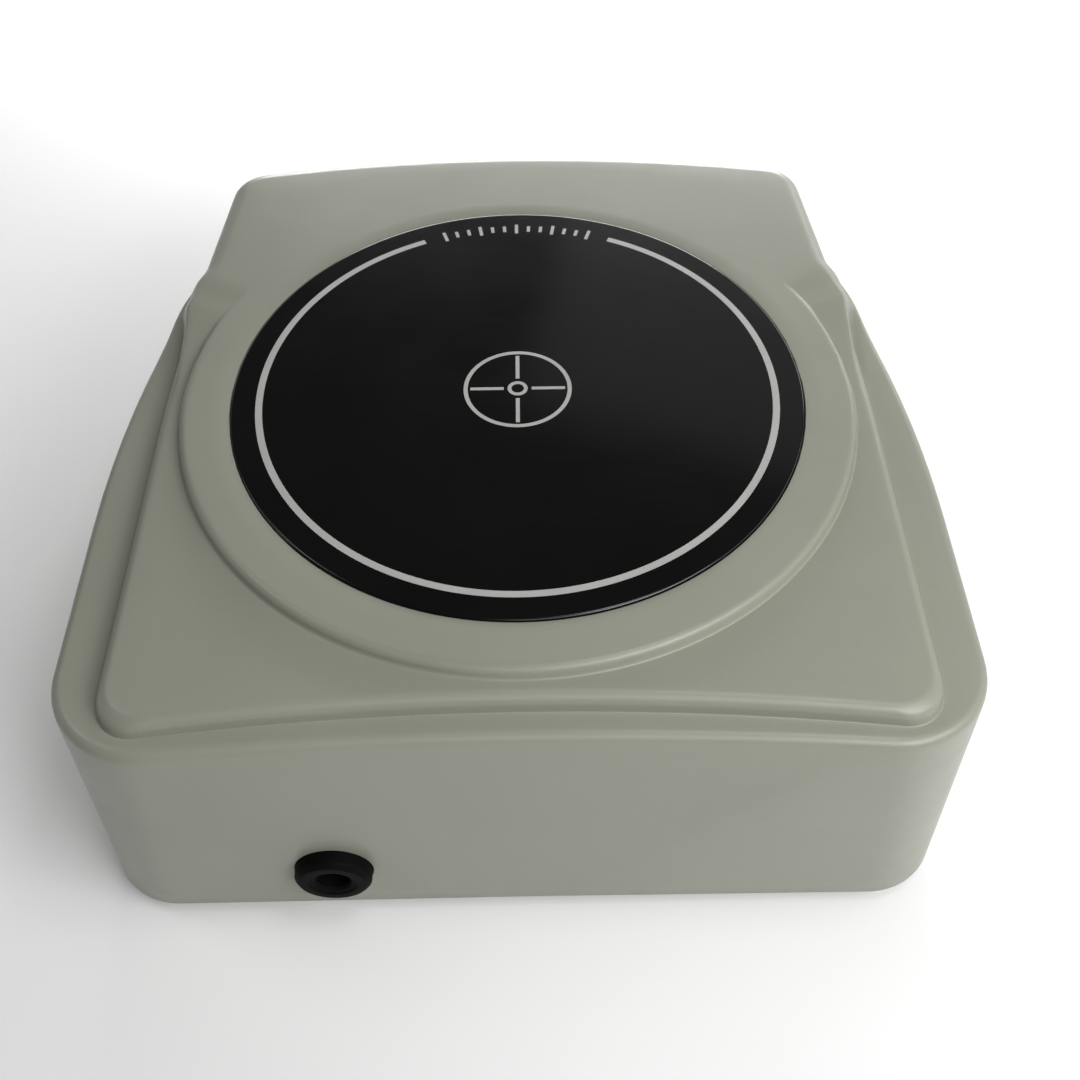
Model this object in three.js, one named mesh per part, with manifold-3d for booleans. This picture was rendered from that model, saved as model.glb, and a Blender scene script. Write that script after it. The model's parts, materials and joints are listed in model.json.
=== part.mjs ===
// Magnetic stirrer: a moulded housing with a round work plate, a motor that spins a pair of
// magnets under the plate, a speed knob with its potentiometer, a small control board and a
// low-voltage power socket. Millimetres, +Z up, +Y towards the controls at the front,
// -Y towards the power socket at the rear. Z = 0 is the bench under the feet.

import * as THREE from 'three';
import { mergeVertices } from 'three/addons/utils/BufferGeometryUtils.js';
import Module from 'manifold-3d';

const wasm = await Module();
wasm.setup();

// ---------------------------------------------------------------- driving dimensions

// Heights above the bench
const HOUSING_BOTTOM_Z = 3.2;
const PLATE_TOP_Z = 61.5;
const PAD_Z = PLATE_TOP_Z - 0.3;
const DECK_Z = PLATE_TOP_Z - 2.5;
const SHELF_Z = PLATE_TOP_Z - 6;

// Housing shell
const WALL = 2.6;
const RIM_FILLET = 2;
const NECK_FILLET = 4.5;
const NECK_WALL_TOP_Z = PAD_Z - NECK_FILLET;
const PAD_RADIUS = 64.6;
const PAD_FILLET = 1.6;
const SHELF_FADE_Y = 14;
const DECK_FADE_Y = -2;
const FADE_END_Y = 40;
const CAVITY_SHELF_Z = SHELF_Z - WALL;

// Outlines seen from above, as [x, y, fillet radius] corners from the rear centre along the
// +X side to the front centre. The -X side is their mirror image.
const BOTTOM_OUTLINE = [
  [0, -77.8, 2000], [79.2, -78.1, 14], [79.2, -5, 250], [72.8, 30.5, 24],
  [68.6, 40.5, 10], [65.7, 74.6, 9], [0, 85.8, 320],
];
const RIM_OUTLINE = [
  [0, -72.1, 757], [78.3, -78, 17], [78.3, -4, 250], [71.5, 30.2, 24],
  [67, 39.5, 10], [64, 72.9, 8.5], [0, 84.1, 320],
];
const DECK_OUTLINE = [
  [0, -64.3, 500], [68, -72.4, 7.7], [68, -4, 300], [67, 28, 22],
  [65.4, 39.5, 10], [62.5, 71.4, 8], [0, 82.6, 320],
];
const CORNER_STEPS = [4, 6, 5, 3, 2, 5, 6];

// Work plate and the recess it is bonded into
const PLATE_RADIUS = 55;
const PLATE_THICKNESS = 3;
const PLATE_GAP = 0.4;
const PLATE_SIDES = 72;
const TAPE_THICKNESS = 0.3;
const TAPE_INNER_RADIUS = 44;
const FLUSH_GAP = 0.1;
const RECESS_Z = PLATE_TOP_Z - PLATE_THICKNESS - TAPE_THICKNESS - 2 * FLUSH_GAP;
const CAVITY_TOP_Z = RECESS_Z - WALL;

// Base plate, feet and the screws that hold it
const BASE_THICKNESS = 2.5;
const BASE_Z = HOUSING_BOTTOM_Z + 0.5;
const BASE_TOP_Z = BASE_Z + BASE_THICKNESS;
const BASE_GAP = 0.35;
const BASE_SCREWS = [[69.5, -68], [57.2, 63.6], [-57.2, 63.6], [-69.5, -68]];
const BASE_BOSS_RADIUS = 4.5;
const BASE_SCREW = { headRadius: 2.9, headHeight: 1.3, shankRadius: 1.5, length: 11 };
const FEET = [[60, -57], [47, 53], [-47, 53], [-60, -57]];
const FOOT_RADIUS = 7;
const FOOT_STEM_RADIUS = 2.5;

// Motor, its bracket and the spinning magnets
const MOTOR_RADIUS = 15;
const MOTOR_BOTTOM_Z = 10.8;
const BRACKET_Z = 40;
const BRACKET_THICKNESS = 1.5;
const BRACKET_TOP_Z = BRACKET_Z + BRACKET_THICKNESS;
const BRACKET_HALF_LENGTH = 47;
const BRACKET_HALF_WIDTH = 17;
const BRACKET_SCREWS = [[41, 11], [-41, 11], [-41, -11], [41, -11]];
const BRACKET_BOSS_RADIUS = 3.8;
const BRACKET_SCREW = { headRadius: 2.6, headHeight: 1.6, shankRadius: 1.2, length: 8 };
const MOTOR_SCREW_REACH = 8.5;
const MOTOR_SCREW = { headRadius: 1.9, headHeight: 0.9, shankRadius: 1, length: 4.5 };
const MOTOR_BEARING_RADIUS = 5;
const TERMINAL_REACH = 7;
const SHAFT_RADIUS = 1.5;
const SHAFT_TOP_Z = 51;
const MAGNET_REACH = 24;
const MAGNET_RADIUS = 7;
const MAGNET_THICKNESS = 5;
const CARRIER_Z = 46.5;
const CARRIER_THICKNESS = 5;
const CARRIER_WIDTH = 18;
const POCKET_DEPTH = 3;
const SET_SCREW_Z = CARRIER_Z - 1.3;

// Control panel on the front wall
const PANEL_CENTRE_Z = 30.5;
const PANEL_WIDTH = 64;
const PANEL_HEIGHT = 38;
const PANEL_CORNER = 5;
const PANEL_FACE_Y = 76.9;
const PANEL_WALL = 2.8;
const LABEL_THICKNESS = 0.6;
const LABEL_FACE_Y = PANEL_FACE_Y + FLUSH_GAP + LABEL_THICKNESS;
const KNOB_RADIUS = 13;
const KNOB_BACK_Y = LABEL_FACE_Y + 0.5;
const KNOB_LENGTH = 14.3;
const KNOB_FRONT_Y = KNOB_BACK_Y + KNOB_LENGTH;
const KNOB_OFF_ANGLE = 150;
const KNOB_FLUTES = 12;
const GRIP_RADIUS = KNOB_RADIUS - 2.2;
const POINTER = { width: 1.4, depth: 1, length: 6.6, reach: 6 };
const POT_SHAFT_RADIUS = 2.4;
const BUSHING_RADIUS = 3.5;
const BUSHING_HOLE_RADIUS = 3.8;
const LED_X = -23;
const LED_RADIUS = 1.5;
const BEZEL_BARREL_RADIUS = 2.3;

// Power socket on the rear wall
const JACK_X = -34.6;
const JACK_Z = 16.2;
const JACK_FLANGE_RADIUS = 7;
const JACK_SEAT_Y = -76.6;
const JACK_BACK_Y = JACK_SEAT_Y - FLUSH_GAP;
const JACK_FRONT_Y = JACK_BACK_Y - 3.7;
const JACK_INNER_Y = JACK_SEAT_Y + 15;
const JACK_WASHER_THICKNESS = 0.8;
const JACK_WASHER_Y = JACK_SEAT_Y + 3;
const JACK_NUT_Y = JACK_WASHER_Y + JACK_WASHER_THICKNESS + FLUSH_GAP;
const JACK_BODY_RADIUS = 5.5;
const JACK_SOCKET_RADIUS = 3.1;
const JACK_SOCKET_DEPTH = 10.5;
const JACK_PIN_RADIUS = 1;

// Control board on posts above the base plate
const BOARD_Z = 10.2;
const BOARD_THICKNESS = 1.6;
const BOARD_TOP_Z = BOARD_Z + BOARD_THICKNESS;
const BOARD_MIN = [-36, 22];
const BOARD_MAX = [36, 58];
const BOARD_SCREWS = [[32, 26], [32, 54], [-32, 54], [-32, 26]];
const BOARD_SCREW = { headRadius: 2.2, headHeight: 1.5, shankRadius: 1.1, length: 5 };
const BOARD_POST_RADIUS = 3;
const HEADER_HEIGHT = 6;
const HEAT_SINK = { x0: -26, x1: -2, y0: 32, y1: 42, height: 20 };
const WIRE_RADIUS = 0.8;

// The origin is the middle of the footprint, so the plate axis stands a little behind it
const PLATE_AXIS_Y = -(KNOB_FRONT_Y + JACK_FRONT_Y) / 2;

// ---------------------------------------------------------------- materials

const finish = (color, roughness, metalness = 0) =>
  new THREE.MeshStandardMaterial({ color, roughness, metalness });

const HOUSING_PLASTIC = finish(0x9a9c8c, 0.5);
const GLOSS_BLACK = finish(0x0e0e0f, 0.15);
const BLACK_PLASTIC = finish(0x161616, 0.45);
const DARK_PLASTIC = finish(0x2a2b2d, 0.5);
const RUBBER = finish(0x1b1b1b, 0.85);
const FOAM_TAPE = finish(0xd8d8d2, 0.9);
const STEEL = finish(0xb9bcbf, 0.35, 1);
const ZINC = finish(0xa7adb0, 0.45, 1);
const ALUMINIUM = finish(0xc7c9cb, 0.4, 1);
const NICKEL = finish(0xcfd0d2, 0.2, 1);
const BRASS = finish(0xc9a24c, 0.35, 1);
const BOARD_GREEN = finish(0x1f5b36, 0.5);
const CONNECTOR_NYLON = finish(0xe8e4d8, 0.5);
const LED_RED = finish(0xc01818, 0.2);
const PALE_PRINT = finish(0xe6e6e0, 0.5);
const RED_WIRE = finish(0xb01c1c, 0.5);
const BLACK_WIRE = finish(0x141414, 0.5);
const GREY_WIRE = finish(0x8b8e90, 0.5);

// ---------------------------------------------------------------- solids

function solid(geometry) {
  const bare = geometry.clone();
  bare.deleteAttribute('normal');
  bare.deleteAttribute('uv');
  const merged = mergeVertices(bare, 1e-4);
  return new wasm.Manifold(new wasm.Mesh({
    numProp: 3,
    vertProperties: new Float32Array(merged.attributes.position.array),
    triVerts: new Uint32Array(merged.index.array),
  }));
}

function toGeometry(manifold) {
  const mesh = manifold.getMesh();
  const geometry = new THREE.BufferGeometry();
  geometry.setAttribute('position', new THREE.BufferAttribute(mesh.vertProperties, 3));
  geometry.setIndex(new THREE.BufferAttribute(mesh.triVerts, 1));
  geometry.computeVertexNormals();
  return geometry;
}

function boxBetween([x0, y0, z0], [x1, y1, z1]) {
  const geometry = new THREE.BoxGeometry(x1 - x0, y1 - y0, z1 - z0);
  geometry.translate((x0 + x1) / 2, (y0 + y1) / 2, (z0 + z1) / 2);
  return solid(geometry);
}

function upright(radius, z0, z1, [x, y] = [0, 0], sides = 24) {
  const geometry = new THREE.CylinderGeometry(radius, radius, z1 - z0, sides);
  geometry.rotateX(Math.PI / 2);
  geometry.translate(x, y, (z0 + z1) / 2);
  return solid(geometry);
}

function lengthwise(radius, y0, y1, [x, z], sides = 24) {
  const geometry = new THREE.CylinderGeometry(radius, radius, y1 - y0, sides);
  geometry.translate(x, (y0 + y1) / 2, z);
  return solid(geometry);
}

// A turned solid about Z from a [radius, z] profile listed from the bottom up
function turned(profile, [x, y] = [0, 0], sides = 24) {
  const points = profile.map(([r, z]) => new THREE.Vector2(r, z));
  const geometry = new THREE.LatheGeometry(points, sides);
  geometry.rotateX(Math.PI / 2);
  geometry.translate(x, y, 0);
  return solid(geometry);
}

// The same about an axis along +Y, from a [radius, y] profile listed from low to high Y
function turnedLengthwise(profile, [x, z], sides = 24) {
  const points = profile.map(([r, y]) => new THREE.Vector2(r, y));
  const geometry = new THREE.LatheGeometry(points, sides);
  geometry.translate(x, 0, z);
  return solid(geometry);
}

function roundedRectangle(width, height, radius) {
  const x = width / 2 - radius;
  const y = height / 2 - radius;
  const shape = new THREE.Shape();
  shape.absarc(x, y, radius, 0, Math.PI / 2);
  shape.absarc(-x, y, radius, Math.PI / 2, Math.PI);
  shape.absarc(-x, -y, radius, Math.PI, Math.PI * 1.5);
  shape.absarc(x, -y, radius, Math.PI * 1.5, Math.PI * 2);
  return shape;
}

// A flat shape in X-Z, extruded along +Y from y0 to y1
function panelPrism(shape, y0, y1, [x, z], curveSegments = 5) {
  const geometry = new THREE.ExtrudeGeometry(shape, {
    depth: y1 - y0, bevelEnabled: false, curveSegments,
  });
  geometry.rotateX(Math.PI / 2);
  geometry.translate(x, y1, z);
  return solid(geometry);
}

function floorPrism(shape, z0, z1, [x, y] = [0, 0], curveSegments = 6) {
  const geometry = new THREE.ExtrudeGeometry(shape, {
    depth: z1 - z0, bevelEnabled: false, curveSegments,
  });
  geometry.translate(x, y, z0);
  return solid(geometry);
}

function hexagon(acrossFlats) {
  const reach = acrossFlats / Math.sqrt(3);
  const corners = [0, 1, 2, 3, 4, 5].map((i) => {
    const angle = Math.PI / 3 * i;
    return new THREE.Vector2(reach * Math.cos(angle), reach * Math.sin(angle));
  });
  return new THREE.Shape(corners);
}

// A wire along a smooth curve through the given points: round, or a flat ribbon if it has a width
function wire(points, radius = WIRE_RADIUS, width = 0) {
  const path = new THREE.CatmullRomCurve3(points.map((p) => new THREE.Vector3(...p)));
  const section = new THREE.Shape();
  if (width) {
    const half = width / 2;
    section.moveTo(-half, -radius);
    section.lineTo(half, -radius);
    section.lineTo(half, radius);
    section.lineTo(-half, radius);
    section.closePath();
  } else {
    section.absarc(0, 0, radius, 0, Math.PI * 2);
  }
  return solid(new THREE.ExtrudeGeometry(section, {
    steps: 3 * (points.length - 1), curveSegments: 4, bevelEnabled: false, extrudePath: path,
  }));
}

// ---------------------------------------------------------------- housing outlines

// The closed outline of a corner list, moved inwards by inset, each corner an arc
function outlinePoints(half, inset) {
  const side = half.slice(1, -1);
  const mirror = side.map(([x, y, r]) => [-x, y, r]).reverse();
  const corners = [half[0], ...side, half.at(-1), ...mirror];
  const sideSteps = CORNER_STEPS.slice(1, -1);
  const steps = [...CORNER_STEPS, ...sideSteps.reverse()];
  const count = corners.length;
  const points = [];
  corners.forEach(([x, y, r], i) => {
    const before = corners[(i + count - 1) % count];
    const after = corners[(i + 1) % count];
    const arrive = new THREE.Vector2(x - before[0], y - before[1]).normalize();
    const leave = new THREE.Vector2(after[0] - x, after[1] - y).normalize();
    const inArrive = new THREE.Vector2(-arrive.y, arrive.x);
    const inLeave = new THREE.Vector2(-leave.y, leave.x);
    const reach = inset / (1 + inArrive.dot(inLeave));
    const corner = new THREE.Vector2(x, y).addScaledVector(inArrive, reach)
      .addScaledVector(inLeave, reach);
    const turn = Math.atan2(arrive.cross(leave), arrive.dot(leave));
    const bend = Math.sign(turn);
    const radius = r - bend * inset;
    const start = corner.clone().addScaledVector(arrive, -radius * Math.tan(Math.abs(turn) / 2));
    const centre = start.clone().addScaledVector(inArrive, bend * radius);
    for (let step = 0; step <= steps[i]; step += 1) {
      points.push(start.clone().rotateAround(centre, turn * step / steps[i]));
    }
  });
  return points;
}

const fade = (y, startY) => THREE.MathUtils.smoothstep(y, startY, FADE_END_Y);

// One ring of the shell: its rear form blends into its front form along Y
function ring(rear, front = rear, startY = SHELF_FADE_Y) {
  const rearPoints = outlinePoints(rear.outline, rear.inset);
  const frontPoints = outlinePoints(front.outline, front.inset);
  return rearPoints.map((point, i) => {
    const share = fade(point.y, startY);
    const mixed = point.clone().lerp(frontPoints[i], share);
    return new THREE.Vector3(mixed.x, mixed.y, THREE.MathUtils.lerp(rear.z, front.z, share));
  });
}

// A round ring whose points lie on the same rays as those of another ring
function roundRing(like, radius, rearZ, frontZ = rearZ) {
  return like.map(({ x, y }) => {
    const scale = radius / Math.hypot(x, y);
    const z = THREE.MathUtils.lerp(rearZ, frontZ, fade(y, DECK_FADE_Y));
    return new THREE.Vector3(x * scale, y * scale, z);
  });
}

// A closed solid through a stack of rings, capped by fans about the plate axis
function ringStack(rings) {
  const count = rings[0].length;
  const positions = [];
  rings.flat().forEach((point) => positions.push(point.x, point.y, point.z));
  const index = [];
  for (let level = 0; level < rings.length - 1; level += 1) {
    for (let i = 0; i < count; i += 1) {
      const a = level * count + i;
      const b = level * count + (i + 1) % count;
      index.push(a, b, b + count, a, b + count, a + count);
    }
  }
  const foot = rings.length * count;
  const head = foot + 1;
  positions.push(0, 0, rings[0][0].z, 0, 0, rings.at(-1)[0].z);
  for (let i = 0; i < count; i += 1) {
    const next = (i + 1) % count;
    index.push(foot, next, i);
    index.push(head, (rings.length - 1) * count + i, (rings.length - 1) * count + next);
  }
  const geometry = new THREE.BufferGeometry();
  geometry.setAttribute('position', new THREE.Float32BufferAttribute(positions, 3));
  geometry.setIndex(index);
  return solid(geometry);
}

// The rounded neck edge, by the angle up from the wall
function neckFillet(degrees) {
  const angle = THREE.MathUtils.degToRad(degrees);
  return {
    outline: RIM_OUTLINE,
    inset: NECK_FILLET * (1 - Math.cos(angle)),
    z: NECK_WALL_TOP_Z + NECK_FILLET * Math.sin(angle),
  };
}

function housingOuter() {
  const deckEdge = ring(
    { outline: DECK_OUTLINE, inset: 1.2, z: DECK_Z }, neckFillet(90), DECK_FADE_Y,
  );
  return ringStack([
    ring({ outline: BOTTOM_OUTLINE, inset: 0, z: HOUSING_BOTTOM_Z }),
    ring({ outline: RIM_OUTLINE, inset: 0, z: SHELF_Z - RIM_FILLET }),
    ring({ outline: RIM_OUTLINE, inset: 0.6, z: SHELF_Z - 0.6 }, neckFillet(0)),
    ring({ outline: RIM_OUTLINE, inset: RIM_FILLET, z: SHELF_Z }, neckFillet(15)),
    ring({ outline: DECK_OUTLINE, inset: -1.4, z: SHELF_Z }, neckFillet(30)),
    ring({ outline: DECK_OUTLINE, inset: -1, z: SHELF_Z + 1.7 }, neckFillet(45)),
    ring({ outline: DECK_OUTLINE, inset: -0.3, z: SHELF_Z + 2.9 }, neckFillet(62)),
    deckEdge,
    roundRing(deckEdge, PLATE_RADIUS - 5, DECK_Z, PAD_Z),
  ]).add(roundPad());
}

// The round pad stands on the deck at the rear and runs level into the neck at the front
const roundPad = () => turned([
  [0, DECK_Z - 1], [PAD_RADIUS + 0.6, DECK_Z - 1], [PAD_RADIUS + 0.5, DECK_Z + 0.6],
  [PAD_RADIUS, PAD_Z - 0.9], [PAD_RADIUS - 0.6, PAD_Z - 0.3], [PAD_RADIUS - PAD_FILLET, PAD_Z],
  [0, PAD_Z],
], [0, 0], PLATE_SIDES);

function housingCavity() {
  const lower = ringStack([
    ring({ outline: BOTTOM_OUTLINE, inset: WALL, z: HOUSING_BOTTOM_Z - 1 }),
    ring({ outline: RIM_OUTLINE, inset: WALL, z: CAVITY_SHELF_Z }),
  ]);
  const upper = ringStack([
    ring({ outline: DECK_OUTLINE, inset: WALL, z: CAVITY_SHELF_Z - 1 }),
    ring({ outline: DECK_OUTLINE, inset: WALL, z: CAVITY_TOP_Z }),
  ]);
  const panelBacking = boxBetween(
    [-PANEL_WIDTH / 2 - 4, PANEL_FACE_Y - PANEL_WALL, BASE_TOP_Z + 0.3],
    [PANEL_WIDTH / 2 + 4, PANEL_FACE_Y + 20, PLATE_TOP_Z],
  );
  return lower.add(upper).subtract(panelBacking);
}

// Screw bosses hang from the ceiling and reach down to the base plate and the motor bracket, and
// a flat seat inside the rear wall carries the socket's washer
function housingBosses() {
  const basePosts = BASE_SCREWS.map(
    (place) => upright(BASE_BOSS_RADIUS, BASE_TOP_Z + FLUSH_GAP, CAVITY_SHELF_Z + 0.5, place, 12),
  );
  const bracketPosts = BRACKET_SCREWS.map(
    (place) => upright(BRACKET_BOSS_RADIUS, BRACKET_TOP_Z + FLUSH_GAP, CAVITY_TOP_Z + 0.5, place, 12),
  );
  const socketSeat = lengthwise(
    JACK_FLANGE_RADIUS + 1.2, JACK_SEAT_Y + 1, JACK_WASHER_Y - FLUSH_GAP, [JACK_X, JACK_Z], 32,
  );
  return [...basePosts, ...bracketPosts, socketSeat];
}

// The plate recess, the panel pocket with its two holes, the socket's seat and bore, and screw holes
function housingCuts() {
  const pocket = roundedRectangle(PANEL_WIDTH, PANEL_HEIGHT, PANEL_CORNER);
  const panelCentre = [0, PANEL_CENTRE_Z];
  const lampCentre = [LED_X, PANEL_CENTRE_Z];
  const jackCentre = [JACK_X, JACK_Z];
  return [
    upright(PLATE_RADIUS + PLATE_GAP, RECESS_Z, PLATE_TOP_Z + 5, [0, 0], PLATE_SIDES),
    panelPrism(pocket, PANEL_FACE_Y, PANEL_FACE_Y + 20, panelCentre),
    lengthwise(BUSHING_HOLE_RADIUS, PANEL_FACE_Y - 10, PANEL_FACE_Y + 10, panelCentre),
    lengthwise(BEZEL_BARREL_RADIUS + 0.2, PANEL_FACE_Y - 10, PANEL_FACE_Y + 10, lampCentre, 16),
    lengthwise(JACK_FLANGE_RADIUS + 0.2, JACK_SEAT_Y - 10, JACK_SEAT_Y, jackCentre, 32),
    lengthwise(JACK_BODY_RADIUS + 0.4, JACK_SEAT_Y - 5, JACK_SEAT_Y + 10, jackCentre, 32),
    ...BASE_SCREWS.map((place) => upright(1.7, BASE_Z, BASE_TOP_Z + 11, place, 10)),
    ...BRACKET_SCREWS.map((place) => upright(1.4, BRACKET_Z, BRACKET_TOP_Z + 8, place, 10)),
  ];
}

function housing() {
  const shell = housingOuter().subtract(housingCavity());
  const bossed = housingBosses().reduce((whole, boss) => whole.add(boss), shell);
  return housingCuts().reduce((whole, cut) => whole.subtract(cut), bossed);
}

// ---------------------------------------------------------------- base, feet and fasteners

function basePlate() {
  let plate = ringStack([
    ring({ outline: BOTTOM_OUTLINE, inset: WALL + BASE_GAP, z: BASE_Z }),
    ring({ outline: BOTTOM_OUTLINE, inset: WALL + BASE_GAP + 0.1, z: BASE_TOP_Z }),
  ]);
  BOARD_SCREWS.forEach((place) => {
    plate = plate.add(upright(BOARD_POST_RADIUS, BASE_TOP_Z - 1, BOARD_Z - FLUSH_GAP, place, 12));
  });
  const cuts = [
    ...BASE_SCREWS.map((place) => upright(1.9, 0, BASE_TOP_Z + 1, place, 12)),
    ...BASE_SCREWS.map((place) => upright(3.4, 0, BASE_Z + 1.1, place, 12)),
    ...FEET.map((place) => upright(FOOT_STEM_RADIUS + 0.4, 0, BASE_TOP_Z + 1, place, 12)),
    ...BOARD_SCREWS.map((place) => upright(1.35, BASE_TOP_Z - 0.5, BOARD_Z + 1, place, 8)),
  ];
  return cuts.reduce((whole, cut) => whole.subtract(cut), plate);
}

function foot(place) {
  return turned([
    [0, 0], [FOOT_RADIUS - 1, 0], [FOOT_RADIUS, 0.9], [FOOT_RADIUS, BASE_Z - FLUSH_GAP],
    [FOOT_STEM_RADIUS, BASE_Z - FLUSH_GAP], [FOOT_STEM_RADIUS, BASE_TOP_Z + 0.2],
    [FOOT_STEM_RADIUS + 1.1, BASE_TOP_Z + 0.4], [FOOT_STEM_RADIUS - 1, BASE_TOP_Z + 2],
    [0, BASE_TOP_Z + 2],
  ], place, 16);
}

// A pan-head screw with its head's bearing face at headZ, pointing up or down
function screw({ place, headZ, headRadius, headHeight, shankRadius, length, up }) {
  const way = up ? 1 : -1;
  const profile = [
    [0, headZ - way * headHeight], [headRadius * 0.75, headZ - way * headHeight],
    [headRadius, headZ], [shankRadius, headZ], [shankRadius, headZ + way * length],
    [0, headZ + way * length],
  ];
  return turned(up ? profile : profile.reverse(), place, 10);
}

const baseScrew = (place) => screw({ ...BASE_SCREW, place, headZ: BASE_Z + 1, up: true });

const bracketScrew = (place) => screw({
  ...BRACKET_SCREW, place, headZ: BRACKET_Z - FLUSH_GAP, up: true,
});

const motorScrew = (place) => screw({
  ...MOTOR_SCREW, place, headZ: BRACKET_TOP_Z + FLUSH_GAP, up: false,
});

const boardScrew = (place) => screw({
  ...BOARD_SCREW, place, headZ: BOARD_TOP_Z + FLUSH_GAP, up: false,
});

// ---------------------------------------------------------------- work plate

const workPlate = () => upright(
  PLATE_RADIUS, PLATE_TOP_Z - PLATE_THICKNESS, PLATE_TOP_Z, [0, 0], PLATE_SIDES,
);

function plateTape() {
  const low = RECESS_Z + FLUSH_GAP;
  return upright(PLATE_RADIUS - 1, low, low + TAPE_THICKNESS, [0, 0], 36)
    .subtract(upright(TAPE_INNER_RADIUS, RECESS_Z, PLATE_TOP_Z, [0, 0], 36));
}

// ---------------------------------------------------------------- motor and magnets

function motorCan() {
  const bottom = MOTOR_BOTTOM_Z;
  const top = BRACKET_Z - FLUSH_GAP;
  const can = turned([
    [0, bottom], [MOTOR_BEARING_RADIUS, bottom], [MOTOR_BEARING_RADIUS, bottom + 1],
    [MOTOR_RADIUS - 2, bottom + 1], [MOTOR_RADIUS, bottom + 2.6], [MOTOR_RADIUS, top - 1],
    [MOTOR_RADIUS - 1, top], [MOTOR_BEARING_RADIUS, top], [MOTOR_BEARING_RADIUS, top + 1.9],
    [0, top + 1.9],
  ], [0, 0], 24);
  const shaftHole = upright(SHAFT_RADIUS + 0.09, top - 9, top + 5, [0, 0], 24);
  const screwHoles = [MOTOR_SCREW_REACH, -MOTOR_SCREW_REACH]
    .map((y) => upright(1.3, top - 4, top + 1, [0, y], 12));
  return can.subtract(shaftHole).subtract(screwHoles[0]).subtract(screwHoles[1]);
}

function motorTerminal(side) {
  const x = side * TERMINAL_REACH;
  return boxBetween([x - 0.4, -1.5, MOTOR_BOTTOM_Z - 2.8], [x + 0.4, 1.5, MOTOR_BOTTOM_Z + 0.9]);
}

function motorBracket() {
  const shape = roundedRectangle(2 * BRACKET_HALF_LENGTH, 2 * BRACKET_HALF_WIDTH, 4);
  const plate = floorPrism(shape, BRACKET_Z, BRACKET_TOP_Z);
  const cuts = [
    upright(MOTOR_BEARING_RADIUS + 0.3, 0, PLATE_TOP_Z),
    ...BRACKET_SCREWS.map((place) => upright(1.5, 0, PLATE_TOP_Z, place, 10)),
    ...[1, -1].map((side) => upright(1.3, 0, PLATE_TOP_Z, [0, side * MOTOR_SCREW_REACH], 10)),
    ...[1, -1].map((side) => upright(6, 0, PLATE_TOP_Z, [side * 27, 0], 16)),
  ];
  return cuts.reduce((whole, cut) => whole.subtract(cut), plate);
}

const motorShaft = () => turned([
  [0, BRACKET_Z - 7], [SHAFT_RADIUS, BRACKET_Z - 7], [SHAFT_RADIUS, SHAFT_TOP_Z - 0.4],
  [SHAFT_RADIUS - 0.4, SHAFT_TOP_Z], [0, SHAFT_TOP_Z],
], [0, 0], 24);

function magnetCarrier() {
  const top = CARRIER_Z + CARRIER_THICKNESS;
  const length = 2 * (MAGNET_REACH + MAGNET_RADIUS + 2);
  const bar = floorPrism(
    roundedRectangle(length, CARRIER_WIDTH, CARRIER_WIDTH / 2 - 0.1), CARRIER_Z, top,
  );
  const hub = upright(6, BRACKET_TOP_Z + 2.2, CARRIER_Z + 1);
  const pockets = [MAGNET_REACH, -MAGNET_REACH].map(
    (x) => upright(MAGNET_RADIUS + 0.2, top - POCKET_DEPTH, top + 1, [x, 0], 24),
  );
  const cuts = [
    upright(SHAFT_RADIUS + 0.1, 0, PLATE_TOP_Z), ...pockets,
    lengthwise(1.1, -10, -1.4, [0, SET_SCREW_Z], 12),
  ];
  return cuts.reduce((whole, cut) => whole.subtract(cut), bar.add(hub));
}

function magnet(side) {
  const floor = CARRIER_Z + CARRIER_THICKNESS - POCKET_DEPTH + FLUSH_GAP;
  return upright(MAGNET_RADIUS, floor, floor + MAGNET_THICKNESS, [side * MAGNET_REACH, 0], 24);
}

const setScrew = () => lengthwise(0.95, -5.6, -SHAFT_RADIUS - 0.15, [0, SET_SCREW_Z], 12);

// ---------------------------------------------------------------- control panel

function panelLabel() {
  const sheet = panelPrism(
    roundedRectangle(PANEL_WIDTH - 0.8, PANEL_HEIGHT - 0.8, PANEL_CORNER - 0.4),
    PANEL_FACE_Y + FLUSH_GAP, LABEL_FACE_Y, [0, PANEL_CENTRE_Z],
  );
  return sheet
    .subtract(lengthwise(7, PANEL_FACE_Y - 5, PANEL_FACE_Y + 5, [0, PANEL_CENTRE_Z], 32))
    .subtract(lengthwise(3.2, PANEL_FACE_Y - 5, PANEL_FACE_Y + 5, [LED_X, PANEL_CENTRE_Z], 20));
}

// The potentiometer sits behind the wall with its threaded bushing through it
function potBody() {
  const back = PANEL_FACE_Y - PANEL_WALL - FLUSH_GAP;
  const front = PANEL_FACE_Y + 4.5;
  const can = turnedLengthwise([
    [0, back - 17], [6.5, back - 17], [7.5, back - 16], [7.5, back - 10], [8.3, back - 10],
    [8.3, back], [BUSHING_RADIUS, back], [BUSHING_RADIUS, front], [0, front],
  ], [0, PANEL_CENTRE_Z], 20);
  const terminals = boxBetween(
    [-6, back - 5.5, PANEL_CENTRE_Z - 12], [6, back - 4, PANEL_CENTRE_Z - 6],
  );
  const bore = lengthwise(POT_SHAFT_RADIUS + 0.09, back - 8, front + 5, [0, PANEL_CENTRE_Z], 20);
  return can.add(terminals).subtract(bore);
}

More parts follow.
